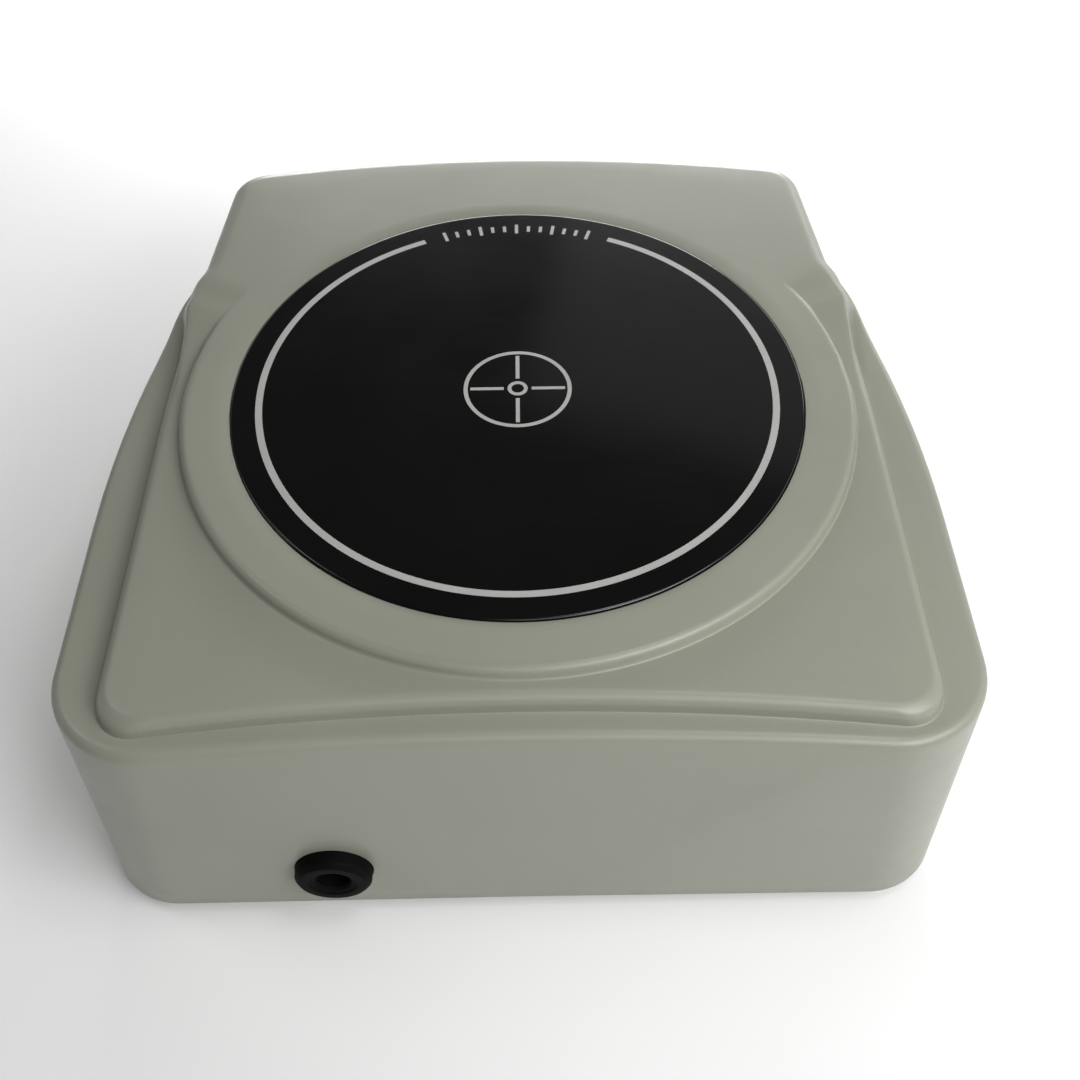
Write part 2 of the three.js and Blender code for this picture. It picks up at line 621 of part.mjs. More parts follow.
function potShaft() {
  const back = PANEL_FACE_Y - PANEL_WALL - 7;
  const front = KNOB_FRONT_Y - 3;
  const shaft = turnedLengthwise([
    [0, back], [POT_SHAFT_RADIUS, back], [POT_SHAFT_RADIUS, front], [0, front],
  ], [0, PANEL_CENTRE_Z], 20);
  const flat = boxBetween(
    [-5, PANEL_FACE_Y + 6.5, PANEL_CENTRE_Z + 1.4], [5, KNOB_FRONT_Y, PANEL_CENTRE_Z + 5],
  );
  return shaft.subtract(flat);
}

const bushingHole = () => lengthwise(
  BUSHING_HOLE_RADIUS, PANEL_FACE_Y - 5, PANEL_FACE_Y + 5, [0, PANEL_CENTRE_Z],
);

const potWasher = () => lengthwise(
  5.8, PANEL_FACE_Y + FLUSH_GAP, PANEL_FACE_Y + 0.7, [0, PANEL_CENTRE_Z],
).subtract(bushingHole());

const potNut = () => panelPrism(
  hexagon(10), PANEL_FACE_Y + 0.8, PANEL_FACE_Y + 2.8, [0, PANEL_CENTRE_Z],
).subtract(bushingHole());

// A skirted knob with a fluted grip, hollow at the back over the nut
function speedKnob() {
  const centre = [0, PANEL_CENTRE_Z];
  const body = turnedLengthwise([
    [0, KNOB_BACK_Y], [KNOB_RADIUS, KNOB_BACK_Y], [KNOB_RADIUS, KNOB_BACK_Y + 1.4],
    [GRIP_RADIUS + 0.6, KNOB_BACK_Y + 3], [GRIP_RADIUS, KNOB_FRONT_Y - 1],
    [GRIP_RADIUS - 1, KNOB_FRONT_Y], [0, KNOB_FRONT_Y],
  ], centre, 36);
  const cuts = [
    lengthwise(8, KNOB_BACK_Y - 1, KNOB_BACK_Y + 3.8, centre, 28),
    lengthwise(POT_SHAFT_RADIUS + 0.1, KNOB_BACK_Y - 1, KNOB_FRONT_Y - 2.8, centre, 20),
    pointerBar(0.2),
  ];
  for (let i = 0; i < KNOB_FLUTES; i += 1) {
    const angle = 2 * Math.PI * i / KNOB_FLUTES;
    const reach = GRIP_RADIUS + 1.1;
    const place = [reach * Math.sin(angle), PANEL_CENTRE_Z + reach * Math.cos(angle)];
    cuts.push(lengthwise(1.5, KNOB_BACK_Y + 3.4, KNOB_FRONT_Y + 1, place, 8));
  }
  const flat = boxBetween(
    [-3, KNOB_BACK_Y + 6, PANEL_CENTRE_Z + 1.6], [3, KNOB_FRONT_Y - 2.9, PANEL_CENTRE_Z + 3],
  );
  return cuts.reduce((whole, cut) => whole.subtract(cut), body).add(flat);
}

// The pointer inlaid in the knob's face, turned to the off position
function pointerBar(clearance = 0) {
  const { width, depth, length, reach } = POINTER;
  const grown = 2 * clearance;
  const bar = new THREE.BoxGeometry(width + grown, depth + grown, length + grown);
  bar.translate(0, 0, reach);
  bar.rotateY(THREE.MathUtils.degToRad(KNOB_OFF_ANGLE));
  bar.translate(0, KNOB_FRONT_Y - depth / 2, PANEL_CENTRE_Z);
  return solid(bar);
}

const led = () => turnedLengthwise([
  [0, PANEL_FACE_Y - 3], [1.9, PANEL_FACE_Y - 3], [1.9, PANEL_FACE_Y - 2],
  [LED_RADIUS, PANEL_FACE_Y - 2], [LED_RADIUS, PANEL_FACE_Y + 1.6], [1.1, PANEL_FACE_Y + 2.5],
  [0.5, PANEL_FACE_Y + 2.9], [0, PANEL_FACE_Y + 3],
], [LED_X, PANEL_CENTRE_Z], 16);

function ledBezel() {
  const inner = LED_RADIUS + 0.15;
  const back = PANEL_FACE_Y - 1.8;
  return turnedLengthwise([
    [inner, back], [BEZEL_BARREL_RADIUS, back], [BEZEL_BARREL_RADIUS, PANEL_FACE_Y + FLUSH_GAP],
    [3, PANEL_FACE_Y + FLUSH_GAP], [3, PANEL_FACE_Y + 1.2], [2.5, PANEL_FACE_Y + 1.7],
    [inner, PANEL_FACE_Y + 1.7], [inner, back],
  ], [LED_X, PANEL_CENTRE_Z], 16);
}

// ---------------------------------------------------------------- power socket

function jackBody() {
  const centre = [JACK_X, JACK_Z];
  const body = turnedLengthwise([
    [0, JACK_FRONT_Y], [JACK_FLANGE_RADIUS - 0.8, JACK_FRONT_Y],
    [JACK_FLANGE_RADIUS, JACK_FRONT_Y + 0.8], [JACK_FLANGE_RADIUS, JACK_BACK_Y],
    [JACK_BODY_RADIUS, JACK_BACK_Y], [JACK_BODY_RADIUS, JACK_INNER_Y], [0, JACK_INNER_Y],
  ], centre, 32);
  const socket = lengthwise(
    JACK_SOCKET_RADIUS, JACK_FRONT_Y - 1, JACK_FRONT_Y + JACK_SOCKET_DEPTH, centre,
  );
  return body.subtract(socket);
}

function jackPin() {
  const tip = JACK_FRONT_Y + 2.8;
  const root = JACK_FRONT_Y + JACK_SOCKET_DEPTH - FLUSH_GAP;
  return turnedLengthwise([
    [0, tip], [JACK_PIN_RADIUS - 0.3, tip], [JACK_PIN_RADIUS, tip + 0.4],
    [JACK_PIN_RADIUS, root], [0, root],
  ], [JACK_X, JACK_Z], 12);
}

const jackBodyHole = () => lengthwise(
  JACK_BODY_RADIUS + 0.3, JACK_NUT_Y - 5, JACK_NUT_Y + 5, [JACK_X, JACK_Z],
);

const jackWasher = () => lengthwise(
  7.5, JACK_WASHER_Y, JACK_WASHER_Y + JACK_WASHER_THICKNESS, [JACK_X, JACK_Z],
).subtract(jackBodyHole());

const jackNut = () => panelPrism(
  hexagon(14), JACK_NUT_Y, JACK_NUT_Y + 2.5, [JACK_X, JACK_Z],
).subtract(jackBodyHole());

// ---------------------------------------------------------------- control board

function controlBoard() {
  const board = boxBetween([...BOARD_MIN, BOARD_Z], [...BOARD_MAX, BOARD_TOP_Z]);
  return BOARD_SCREWS.map((place) => upright(1.4, BOARD_Z - 1, BOARD_TOP_Z + 1, place, 12))
    .reduce((whole, cut) => whole.subtract(cut), board);
}

const onBoard = (x0, y0, x1, y1, height) => boxBetween(
  [x0, y0, BOARD_TOP_Z + FLUSH_GAP], [x1, y1, BOARD_TOP_Z + FLUSH_GAP + height],
);

// A wire-to-board header, open at the top
function connector(x, y, width, depth) {
  const wall = 0.8;
  const left = x - width / 2;
  const right = x + width / 2;
  const near = y - depth / 2;
  const far = y + depth / 2;
  const mouth = boxBetween(
    [left + wall, near + wall, BOARD_TOP_Z + HEADER_HEIGHT / 2],
    [right - wall, far - wall, BOARD_TOP_Z + HEADER_HEIGHT + 2],
  );
  return onBoard(left, near, right, far, HEADER_HEIGHT).subtract(mouth);
}

function capacitor(x, y, radius, height) {
  const base = BOARD_TOP_Z + FLUSH_GAP;
  return turned([
    [0, base], [radius, base], [radius, base + 1.4], [radius - 0.4, base + 1.8], [radius, base + 2.2],
    [radius, base + height - 0.4], [radius - 0.4, base + height], [0, base + height],
  ], [x, y], 20);
}

function heatSink() {
  const { x0, x1, y0, y1, height } = HEAT_SINK;
  let sink = onBoard(x0, y0, x1, y1, height);
  for (let x = x0 + 2; x < x1 - 2; x += 4) {
    sink = sink.subtract(boxBetween(
      [x, y0 + 2, BOARD_TOP_Z - 1], [x + 2.4, y1 + 1, BOARD_TOP_Z + height + 2],
    ));
  }
  return sink;
}

// The power transistor lies against the heat sink's flat back
function transistor() {
  const middle = (HEAT_SINK.x0 + HEAT_SINK.x1) / 2;
  const back = HEAT_SINK.y0 - FLUSH_GAP;
  const tab = boxBetween([middle - 5, back - 1.3, BOARD_TOP_Z + 8], [middle + 5, back, BOARD_TOP_Z + 19]);
  return onBoard(middle - 5, back - 4.4, middle + 5, back, 14).add(tab);
}

// ---------------------------------------------------------------- wiring

const jackWireRoute = (lane) => [
  [JACK_X, JACK_INNER_Y + 0.4, JACK_Z + lane], [JACK_X, JACK_INNER_Y + 6, JACK_Z + lane - 1],
  [JACK_X + 1, -40, 11 + lane], [JACK_X + 3, -5, 10 + lane], [-31 + lane, 18, 14 + lane * 0.4],
  [-30 + lane, 27, 21], [-30 + lane, 32.6, 22.4], [-30 + lane, 34, 19.6], [-30 + lane, 34, 15.6],
];

const motorWireRoute = (side) => [
  [side * TERMINAL_REACH, 1.9, MOTOR_BOTTOM_Z - 2], [side * 6.6, 8, MOTOR_BOTTOM_Z - 2.2],
  [side * 5, 15.5, MOTOR_BOTTOM_Z - 1.5], [10 + side * 1.6, 19.6, 15], [10 + side * 1.2, 23, 21],
  [10 + side * 1.2, 27.2, 22.4], [10 + side * 1.2, 28.5, 19.6], [10 + side * 1.2, 28.5, 15.6],
];

const potWireRoute = [
  [0, PANEL_FACE_Y - PANEL_WALL - 4.9, PANEL_CENTRE_Z - 12.4], [0, 68.4, 15], [0, 62, 14.4],
  [0, 57, 18.4], [0, 52.2, 21.6], [0, 51, 19.4], [0, 51, 15.6],
];

const ledWireRoute = [
  [LED_X, PANEL_FACE_Y - 3.4, PANEL_CENTRE_Z], [LED_X, 69, PANEL_CENTRE_Z - 1],
  [LED_X + 1, 63, PANEL_CENTRE_Z - 8], [LED_X + 4, 55.4, 20.6], [LED_X + 5, 51, 21.4],
  [LED_X + 5, 50, 19.2], [LED_X + 5, 50, 15.6],
];

// ---------------------------------------------------------------- assembly

const stirrer = new THREE.Group();
stirrer.position.y = PLATE_AXIS_Y;

function put(name, manifold, material) {
  const mesh = new THREE.Mesh(toGeometry(manifold), material);
  mesh.name = name;
  stirrer.add(mesh);
}

put('housing', housing(), HOUSING_PLASTIC);
put('base_plate', basePlate(), DARK_PLASTIC);
put('work_plate', workPlate(), GLOSS_BLACK);
put('plate_tape', plateTape(), FOAM_TAPE);
FEET.forEach((place, i) => put(`foot_${i + 1}`, foot(place), RUBBER));
BASE_SCREWS.forEach((place, i) => put(`base_screw_${i + 1}`, baseScrew(place), ZINC));

put('motor_can', motorCan(), ZINC);
[1, -1].forEach((side, i) => put(`motor_terminal_${i + 1}`, motorTerminal(side), BRASS));
put('motor_bracket', motorBracket(), STEEL);
BRACKET_SCREWS.forEach((place, i) => put(`bracket_screw_${i + 1}`, bracketScrew(place), ZINC));
[1, -1].forEach((side, i) => {
  put(`motor_screw_${i + 1}`, motorScrew([0, side * MOTOR_SCREW_REACH]), ZINC);
});
put('motor_shaft', motorShaft(), STEEL);
put('magnet_carrier', magnetCarrier(), ALUMINIUM);
[1, -1].forEach((side, i) => put(`magnet_${i + 1}`, magnet(side), NICKEL));
put('carrier_set_screw', setScrew(), STEEL);

put('panel_label', panelLabel(), GLOSS_BLACK);
put('pot_body', potBody(), ZINC);
put('pot_shaft', potShaft(), ALUMINIUM);
put('pot_washer', potWasher(), ZINC);
put('pot_nut', potNut(), NICKEL);
put('speed_knob', speedKnob(), BLACK_PLASTIC);
put('knob_pointer', pointerBar(), PALE_PRINT);
put('led', led(), LED_RED);
put('led_bezel', ledBezel(), NICKEL);

put('jack_body', jackBody(), BLACK_PLASTIC);
put('jack_pin', jackPin(), BRASS);
put('jack_washer', jackWasher(), ZINC);
put('jack_nut', jackNut(), NICKEL);

put('control_board', controlBoard(), BOARD_GREEN);
BOARD_SCREWS.forEach((place, i) => put(`board_screw_${i + 1}`, boardScrew(place), ZINC));
put('heat_sink', heatSink(), ALUMINIUM);
put('transistor', transistor(), BLACK_PLASTIC);
put('capacitor_1', capacitor(22, 36, 5, 17), DARK_PLASTIC);
put('capacitor_2', capacitor(22, 48, 3.2, 11), DARK_PLASTIC);
put('power_header', connector(-30, 34, 8, 6), CONNECTOR_NYLON);
put('motor_header', connector(10, 28.5, 8, 6), CONNECTOR_NYLON);
put('pot_header', connector(0, 51, 10, 6), CONNECTOR_NYLON);
put('led_header', connector(LED_X + 5, 50, 6, 6), CONNECTOR_NYLON);

put('jack_wire_red', wire(jackWireRoute(1.2)), RED_WIRE);
put('jack_wire_black', wire(jackWireRoute(-1.2)), BLACK_WIRE);
put('motor_wire_red', wire(motorWireRoute(1)), RED_WIRE);
put('motor_wire_black', wire(motorWireRoute(-1)), BLACK_WIRE);
put('pot_cable', wire(potWireRoute, 0.6, 5), GREY_WIRE);
put('led_cable', wire(ledWireRoute, 0.6, 2.4), GREY_WIRE);

export default stirrer;
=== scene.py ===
"""Magnetic stirrer: the looks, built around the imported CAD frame.

Shapes are worked out in millimetres about the plate axis, with the bench at height 0, and `place` puts
them into the frame in metres. +Y is the front with the controls, -Y the rear with the power socket.
"""

import json
import math
from functools import lru_cache

import bmesh
import bpy
from mathutils import Matrix, Vector


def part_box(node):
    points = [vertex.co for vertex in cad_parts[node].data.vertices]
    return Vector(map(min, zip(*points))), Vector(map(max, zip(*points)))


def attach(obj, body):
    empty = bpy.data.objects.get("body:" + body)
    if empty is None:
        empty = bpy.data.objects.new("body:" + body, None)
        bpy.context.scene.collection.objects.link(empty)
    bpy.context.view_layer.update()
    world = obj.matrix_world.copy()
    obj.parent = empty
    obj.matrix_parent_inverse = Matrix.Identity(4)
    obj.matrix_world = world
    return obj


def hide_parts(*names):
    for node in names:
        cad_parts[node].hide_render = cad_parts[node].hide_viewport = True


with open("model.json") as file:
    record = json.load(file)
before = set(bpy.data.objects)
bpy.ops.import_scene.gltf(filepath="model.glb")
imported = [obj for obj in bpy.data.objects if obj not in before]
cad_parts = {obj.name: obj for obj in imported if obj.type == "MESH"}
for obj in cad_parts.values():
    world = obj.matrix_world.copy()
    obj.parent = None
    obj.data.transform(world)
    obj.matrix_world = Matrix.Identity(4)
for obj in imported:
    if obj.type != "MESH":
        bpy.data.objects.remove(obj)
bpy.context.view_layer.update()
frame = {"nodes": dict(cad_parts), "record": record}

# The frame is in metres. Vertices nearer than WELD_MM to each other become one.
MM = 0.001
WELD_MM = 0.0001

# ------------------------------------------------------------------ places read from the frame

plate_low, plate_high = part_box("work_plate")
ORIGIN = Vector(((plate_low.x + plate_high.x) / 2, (plate_low.y + plate_high.y) / 2, 0))


def cad(node):
    """A CAD node's lowest and highest corners, in millimetres about the plate axis."""
    low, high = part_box(node)
    return (low - ORIGIN) / MM, (high - ORIGIN) / MM


def place(point):
    """A point in millimetres about the plate axis, as a point of the frame in metres."""
    return ORIGIN + Vector(point) * MM


def centre_of(node):
    low, high = cad(node)
    return (low + high) / 2


HOUSING_BOTTOM_Z = cad("housing")[0].z
PAD_Z = cad("housing")[1].z
PLATE_BOTTOM_Z = cad("work_plate")[0].z
PLATE_TOP_Z = cad("work_plate")[1].z
PLATE_RADIUS = cad("work_plate")[1].x
RECESS_Z = cad("plate_tape")[0].z - 0.1
BASE_LOW_Z = cad("base_plate")[0].z
BASE_TOP_Z = BASE_LOW_Z + 2.5
BOARD_POST_TOP_Z = cad("base_plate")[1].z
BRACKET_TOP_Z = cad("motor_bracket")[1].z
BASE_SCREW_PLACES = [centre_of(f"base_screw_{i}") for i in range(1, 5)]
BRACKET_SCREW_PLACES = [centre_of(f"bracket_screw_{i}") for i in range(1, 5)]
BOARD_SCREW_PLACES = [centre_of(f"board_screw_{i}") for i in range(1, 5)]
FOOT_PLACES = [centre_of(f"foot_{i}") for i in range(1, 5)]

JACK = centre_of("jack_body")
JACK_LOW, JACK_HIGH = cad("jack_body")
JACK_FLANGE_RADIUS = (JACK_HIGH.x - JACK_LOW.x) / 2
JACK_BARREL_RADIUS = 5.5
JACK_WASHER_Y = cad("jack_washer")[0].y
JACK_SEAT_Y = JACK_WASHER_Y - 3

LABEL_LOW, LABEL_HIGH = cad("panel_label")
LABEL_GAP = 0.4
LED_X = centre_of("led").x
PANEL_Z = (LABEL_LOW.z + LABEL_HIGH.z) / 2
PANEL_WIDTH = LABEL_HIGH.x - LABEL_LOW.x + 2 * LABEL_GAP
PANEL_HEIGHT = LABEL_HIGH.z - LABEL_LOW.z + 2 * LABEL_GAP
PANEL_CORNER = 5
PANEL_FACE_Y = LABEL_LOW.y - 0.1
PANEL_BACK_Y = PANEL_FACE_Y - 2.8
PANEL_EDGE_FILLET = 0.5

# ------------------------------------------------------------------ housing dimensions

WALL = 2.6
DECK_Z = PAD_Z - 2.2
SHELF_Z = DECK_Z - 3.5
RIM_FILLET = 2.0
NECK_FILLET = 4.5
NECK_WALL_TOP_Z = PAD_Z - NECK_FILLET
WALL_TOP_Z = SHELF_Z - RIM_FILLET
DECK_FOOT_FILLET = 0.2
DECK_EDGE_FILLET = 2.2
DECK_EDGE_INSET = 1.2
DECK_STEP_DRAFT = 0.2
PAD_RADIUS = 64.9
PAD_FILLET = 1.6
PAD_FLANK_SLOPE = 1.7
PAD_FOOT_BLEND = 0.25
PAD_FOOT_REACH = (1.2, 1, 0.85, 0.7, 0.58, 0.46, 0.34, 0.22, 0.1)
RECESS_RADIUS = PLATE_RADIUS + 0.15
RECESS_LIP = 0.2
CAVITY_SHELF_Z = SHELF_Z - WALL
CAVITY_TOP_Z = RECESS_Z - WALL
SHELF_FADE_Y = 14
DECK_FADE_Y = -2
FADE_END_Y = 40

# Outlines seen from above, as (x, y, fillet radius) corners from the rear centre along the +X side to
# the front centre. The -X side is their mirror image.
BOTTOM_OUTLINE = (
    (0, -77.8, 2000), (79.2, -78.1, 14), (79.2, -5, 250), (72.8, 30.5, 24),
    (68.6, 40.5, 10), (65.7, 74.6, 9), (0, 85.8, 320),
)
RIM_OUTLINE = (
    (0, -72.1, 757), (78.3, -78, 17), (78.3, -4, 250), (71.5, 30.2, 24),
    (67, 39.5, 10), (64, 72.9, 8.5), (0, 84.1, 320),
)
DECK_OUTLINE = (
    (0, -64.3, 500), (68, -72.4, 7.7), (68, -4, 300), (67, 28, 22),
    (65.4, 39.5, 10), (62.5, 71.4, 8), (0, 82.6, 320),
)
ARC_STEPS = (40, 18, 12, 6, 6, 16, 36)
STRAIGHT_STEPS = (3, 10, 4, 3, 7, 2)
WALL_LEVELS = 12

# ------------------------------------------------------------------ mesh building


def merged(*shapes):
    """Several (vertices, faces) shapes as one."""
    vertices, faces = [], []
    for part_vertices, part_faces in shapes:
        start = len(vertices)
        vertices += part_vertices
        faces += [[start + i for i in face] for face in part_faces]
    return vertices, faces


def stack(rings, closed=False):
    """A skin through rings of points. The two ends get flat caps, unless the stack closes on itself."""
    count = len(rings[0])
    vertices = [point for ring in rings for point in ring]
    faces = []
    levels = len(rings) if closed else len(rings) - 1
    for level in range(levels):
        below, above = level * count, (level + 1) % len(rings) * count
        for i in range(count):
            j = (i + 1) % count
            faces.append([below + i, below + j, above + j, above + i])
    if not closed:
        faces.append(list(reversed(range(count))))
        faces.append([(len(rings) - 1) * count + i for i in range(count)])
    return vertices, faces


def rounded(corners, closed=False, degrees=11.25):
    """The path through (u, v, fillet radius) corners, as (u, v) points with an arc at each fillet."""
    count = len(corners)
    path = []
    for i, (u, v, radius) in enumerate(corners):
        here = Vector((u, v))
        if radius == 0 or (not closed and i in (0, count - 1)):
            path.append(here)
            continue
        arrive = (here - Vector(corners[i - 1][:2])).normalized()
        leave = (Vector(corners[(i + 1) % count][:2]) - here).normalized()
        turn = math.atan2(arrive.cross(leave), arrive.dot(leave))
        steps = max(2, math.ceil(abs(turn) / math.radians(degrees)))
        path += arc_at(here, arrive, turn, radius, steps)
    return path


def arc_at(corner, arrive, turn, radius, steps):
    """The arc that rounds a corner of a path, which turns there by an angle from its arriving direction."""
    start = corner - arrive * (radius * math.tan(abs(turn) / 2))
    to_centre = Vector((-arrive.y, arrive.x)) * math.copysign(radius, turn)
    centre = start + to_centre
    return [centre + Matrix.Rotation(turn * k / steps, 2) @ (start - centre) for k in range(steps + 1)]


def turned(corners, sides=96, radius_at=None):
    """A solid turned about Z from (radius, height, fillet) corners, from the axis round to the axis.

    radius_at(radius, height, angle) may change a point's radius, as for flutes."""
    off_axis = [point for point in rounded(corners) if point[0] > 1e-6]
    return stack([circle(radius, height, sides, radius_at) for radius, height in off_axis])


def hollow_turned(corners, sides=96):
    """A ring-shaped solid turned about Z from a closed list of (radius, height, fillet) corners."""
    rings = [circle(radius, height, sides) for radius, height in rounded(corners, closed=True)]
    return stack(rings, closed=True)


def circle(radius, height, sides, radius_at=None):
    ring = []
    for i in range(sides):
        angle = 2 * math.pi * i / sides
        reach = radius_at(radius, height, angle) if radius_at else radius
        ring.append(Vector((reach * math.cos(angle), reach * math.sin(angle), height)))
    return ring


def moved(shape, offset=(0, 0, 0), along_y=False):
    """A shape shifted by an offset. along_y first turns its Z axis to point along +Y."""
    vertices, faces = shape
    if along_y:
        turn = Matrix.Rotation(-math.pi / 2, 3, "X")
        vertices = [turn @ v for v in vertices]
    return [v + Vector(offset) for v in vertices], faces


def cylinder(radius, low, high, x=0, y=0, sides=48):
    return moved(turned([(0, low, 0), (radius, low, 0), (radius, high, 0), (0, high, 0)], sides), (x, y, 0))


def cylinder_y(radius, low, high, x=0, z=0, sides=64):
    solid = turned([(0, low, 0), (radius, low, 0), (radius, high, 0), (0, high, 0)], sides)
    return moved(solid, (x, 0, z), along_y=True)


def box_shape(low, high):
    ring = [(low[0], low[1]), (high[0], low[1]), (high[0], high[1]), (low[0], high[1])]
    return stack([[Vector((x, y, z)) for x, y in ring] for z in (low[2], high[2])])


def rounded_rectangle(width, height, radius, degrees=9):
    x, y = width / 2, height / 2
    return rounded([(x, -y, radius), (x, y, radius), (-x, y, radius), (-x, -y, radius)], True, degrees)


def mesh_object(name, shape):
    """A plain mesh object from a shape in millimetres, welded and with its faces turned outwards."""
    vertices, faces = shape
    mesh = bpy.data.meshes.new(name)
    mesh.from_pydata([place(v) for v in vertices], [], faces)
    tidy = bmesh.new()
    tidy.from_mesh(mesh)
    bmesh.ops.remove_doubles(tidy, verts=tidy.verts, dist=WELD_MM * MM)
    bmesh.ops.recalc_face_normals(tidy, faces=tidy.faces)
    tidy.to_mesh(mesh)
    tidy.free()
    item = bpy.data.objects.new(name, mesh)
    bpy.context.scene.collection.objects.link(item)
    return item


def boolean(item, shape, operation):
    """Joins a shape to an object or cuts it away, and keeps the result as the object's own mesh."""
    tool = mesh_object("boolean_tool", shape)
    modifier = item.modifiers.new("boolean", "BOOLEAN")
    modifier.object = tool
    modifier.operation = operation
    modifier.solver = "EXACT"
    keep_evaluated_mesh(item)
    bpy.data.objects.remove(tool)
    return item


def keep_evaluated_mesh(item):
    graph = bpy.context.evaluated_depsgraph_get()
    item.data = bpy.data.meshes.new_from_object(item.evaluated_get(graph))
    item.modifiers.clear()


def soften(item, width, segments=2, degrees=40):
    """Rounds every edge sharper than an angle."""
    modifier = item.modifiers.new("bevel", "BEVEL")
    modifier.width = width * MM
    modifier.segments = segments
    modifier.limit_method = "ANGLE"
    modifier.angle_limit = math.radians(degrees)
    modifier.harden_normals = False
    keep_evaluated_mesh(item)
    return item


def finish_piece(item, material, body="case", replaces=(), smooth_degrees=35):
    """Gives a built object its material, shading and body, and hides the CAD nodes that it stands for."""
    item.data.materials.clear()
    item.data.materials.append(material)
    item.data.shade_smooth()
    item.data.set_sharp_from_angle(angle=math.radians(smooth_degrees))
    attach(item, body)
    if replaces:
        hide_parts(*replaces)
    return item


# ------------------------------------------------------------------ materials


def linear(red, green, blue):
    """A display colour in 0-255 as linear light."""
    def channel(value):
        value /= 255
        return value / 12.92 if value <= 0.04045 else ((value + 0.055) / 1.055) ** 2.4
    return channel(red), channel(green), channel(blue)


class Finish:
    """A node material that is built up step by step around one principled shader."""

    def __init__(self, name):
        self.material = bpy.data.materials.new(name)
        self.material.use_nodes = True
        self.tree = self.material.node_tree
        self.shader = self.tree.nodes["Principled BSDF"]
        self.coordinates = self.tree.nodes.new("ShaderNodeTexCoord").outputs["Object"]

    def node(self, kind, **settings):
        made = self.tree.nodes.new(kind)
        for key, value in settings.items():
            setattr(made, key, value)
        return made

    def link(self, output, socket):
        self.tree.links.new(output, socket)

    def stretched(self, x, y, z):
        """The object's coordinates, scaled differently along each axis."""
        mapping = self.node("ShaderNodeMapping")
        mapping.inputs["Scale"].default_value = (x, y, z)
        self.link(self.coordinates, mapping.inputs["Vector"])
        return mapping.outputs["Vector"]

    def noise(self, size_mm, detail=3.0, rough=0.5, coordinates=None):
        """Noise whose blobs are about size_mm across."""
        texture = self.node("ShaderNodeTexNoise")
        texture.inputs["Scale"].default_value = 1 / (size_mm * MM)
        texture.inputs["Detail"].default_value = detail
        texture.inputs["Roughness"].default_value = rough
        self.link(coordinates or self.coordinates, texture.inputs["Vector"])
        return texture.outputs["Fac"]

    def ranged(self, value, low, high, from_low=0.3, from_high=0.7):
        """A noise value spread over a new range."""
        node = self.node("ShaderNodeMapRange")
        node.inputs["From Min"].default_value = from_low
        node.inputs["From Max"].default_value = from_high
        node.inputs["To Min"].default_value = low
        node.inputs["To Max"].default_value = high
        self.link(value, node.inputs["Value"])
        return node.outputs["Result"]

    def combined(self, operation, a, b):
        node = self.node("ShaderNodeMath", operation=operation)
        for socket, value in zip(node.inputs, (a, b)):
            if isinstance(value, (int, float)):
                socket.default_value = value
            else:
                self.link(value, socket)
        return node.outputs["Value"]

    def mixed(self, share, a, b):
        """A colour between two colours, each a constant or another node's output."""
        node = self.node("ShaderNodeMix", data_type="RGBA")
        self.link(share, node.inputs["Factor"])
        for socket, value in ((node.inputs[6], a), (node.inputs[7], b)):
            if isinstance(value, tuple):
                socket.default_value = (*value, 1)
            else:
                self.link(value, socket)
        return node.outputs[2]

    def colour(self, output):
        self.link(output, self.shader.inputs["Base Color"])

    def roughness(self, output):
        self.link(output, self.shader.inputs["Roughness"])

    def relief(self, height, depth_mm, strength=1.0):
        bump = self.node("ShaderNodeBump")
        bump.inputs["Distance"].default_value = depth_mm * MM
        bump.inputs["Strength"].default_value = strength
        self.link(height, bump.inputs["Height"])
        self.link(bump.outputs["Normal"], self.shader.inputs["Normal"])


def shaded(colour, factor):
    return tuple(min(1.0, c * factor) for c in colour)


def moulded(name, colour, roughness, grain_mm=0.35, grain_depth=0.012, drift=0.03, gloss=0.5):
    """Moulded plastic with a fine spark-eroded texture and a slight drift of tone."""
    made = Finish(name)
    made.shader.inputs["Specular IOR Level"].default_value = gloss
    grain = made.noise(grain_mm, detail=2, rough=0.55)
    cloud = made.noise(28, detail=2)
    flow = made.noise(4, detail=3)
    tone = made.combined("ADD", made.combined("MULTIPLY", cloud, 0.6), made.combined("MULTIPLY", grain, 0.4))
    share = made.ranged(tone, 0, 1, 0.35, 0.65)
    made.colour(made.mixed(share, shaded(colour, 1 - drift), shaded(colour, 1 + drift)))
    smear = made.combined("ADD", made.combined("MULTIPLY", flow, 0.5), made.combined("MULTIPLY", grain, 0.5))
    made.roughness(made.ranged(smear, roughness - 0.06, roughness + 0.06))
    made.relief(grain, grain_depth)
    return made.material


def metal(name, colour, roughness, brushed=(1, 1, 1), grain_mm=0.4, depth=0.006, stain=0.1):
    """Bare or plated metal, with a grain that brushing draws out along an axis."""
    made = Finish(name)
    made.shader.inputs["Metallic"].default_value = 1.0
    grain = made.noise(grain_mm, detail=3, coordinates=made.stretched(*brushed))
    cloud = made.noise(6, detail=3)
    share = made.ranged(cloud, 0, 1)
    made.colour(made.mixed(share, shaded(colour, 1 - stain), shaded(colour, 1 + stain / 2)))
    made.roughness(made.ranged(grain, roughness - 0.08, roughness + 0.1))
    made.relief(grain, depth)
    return made.material


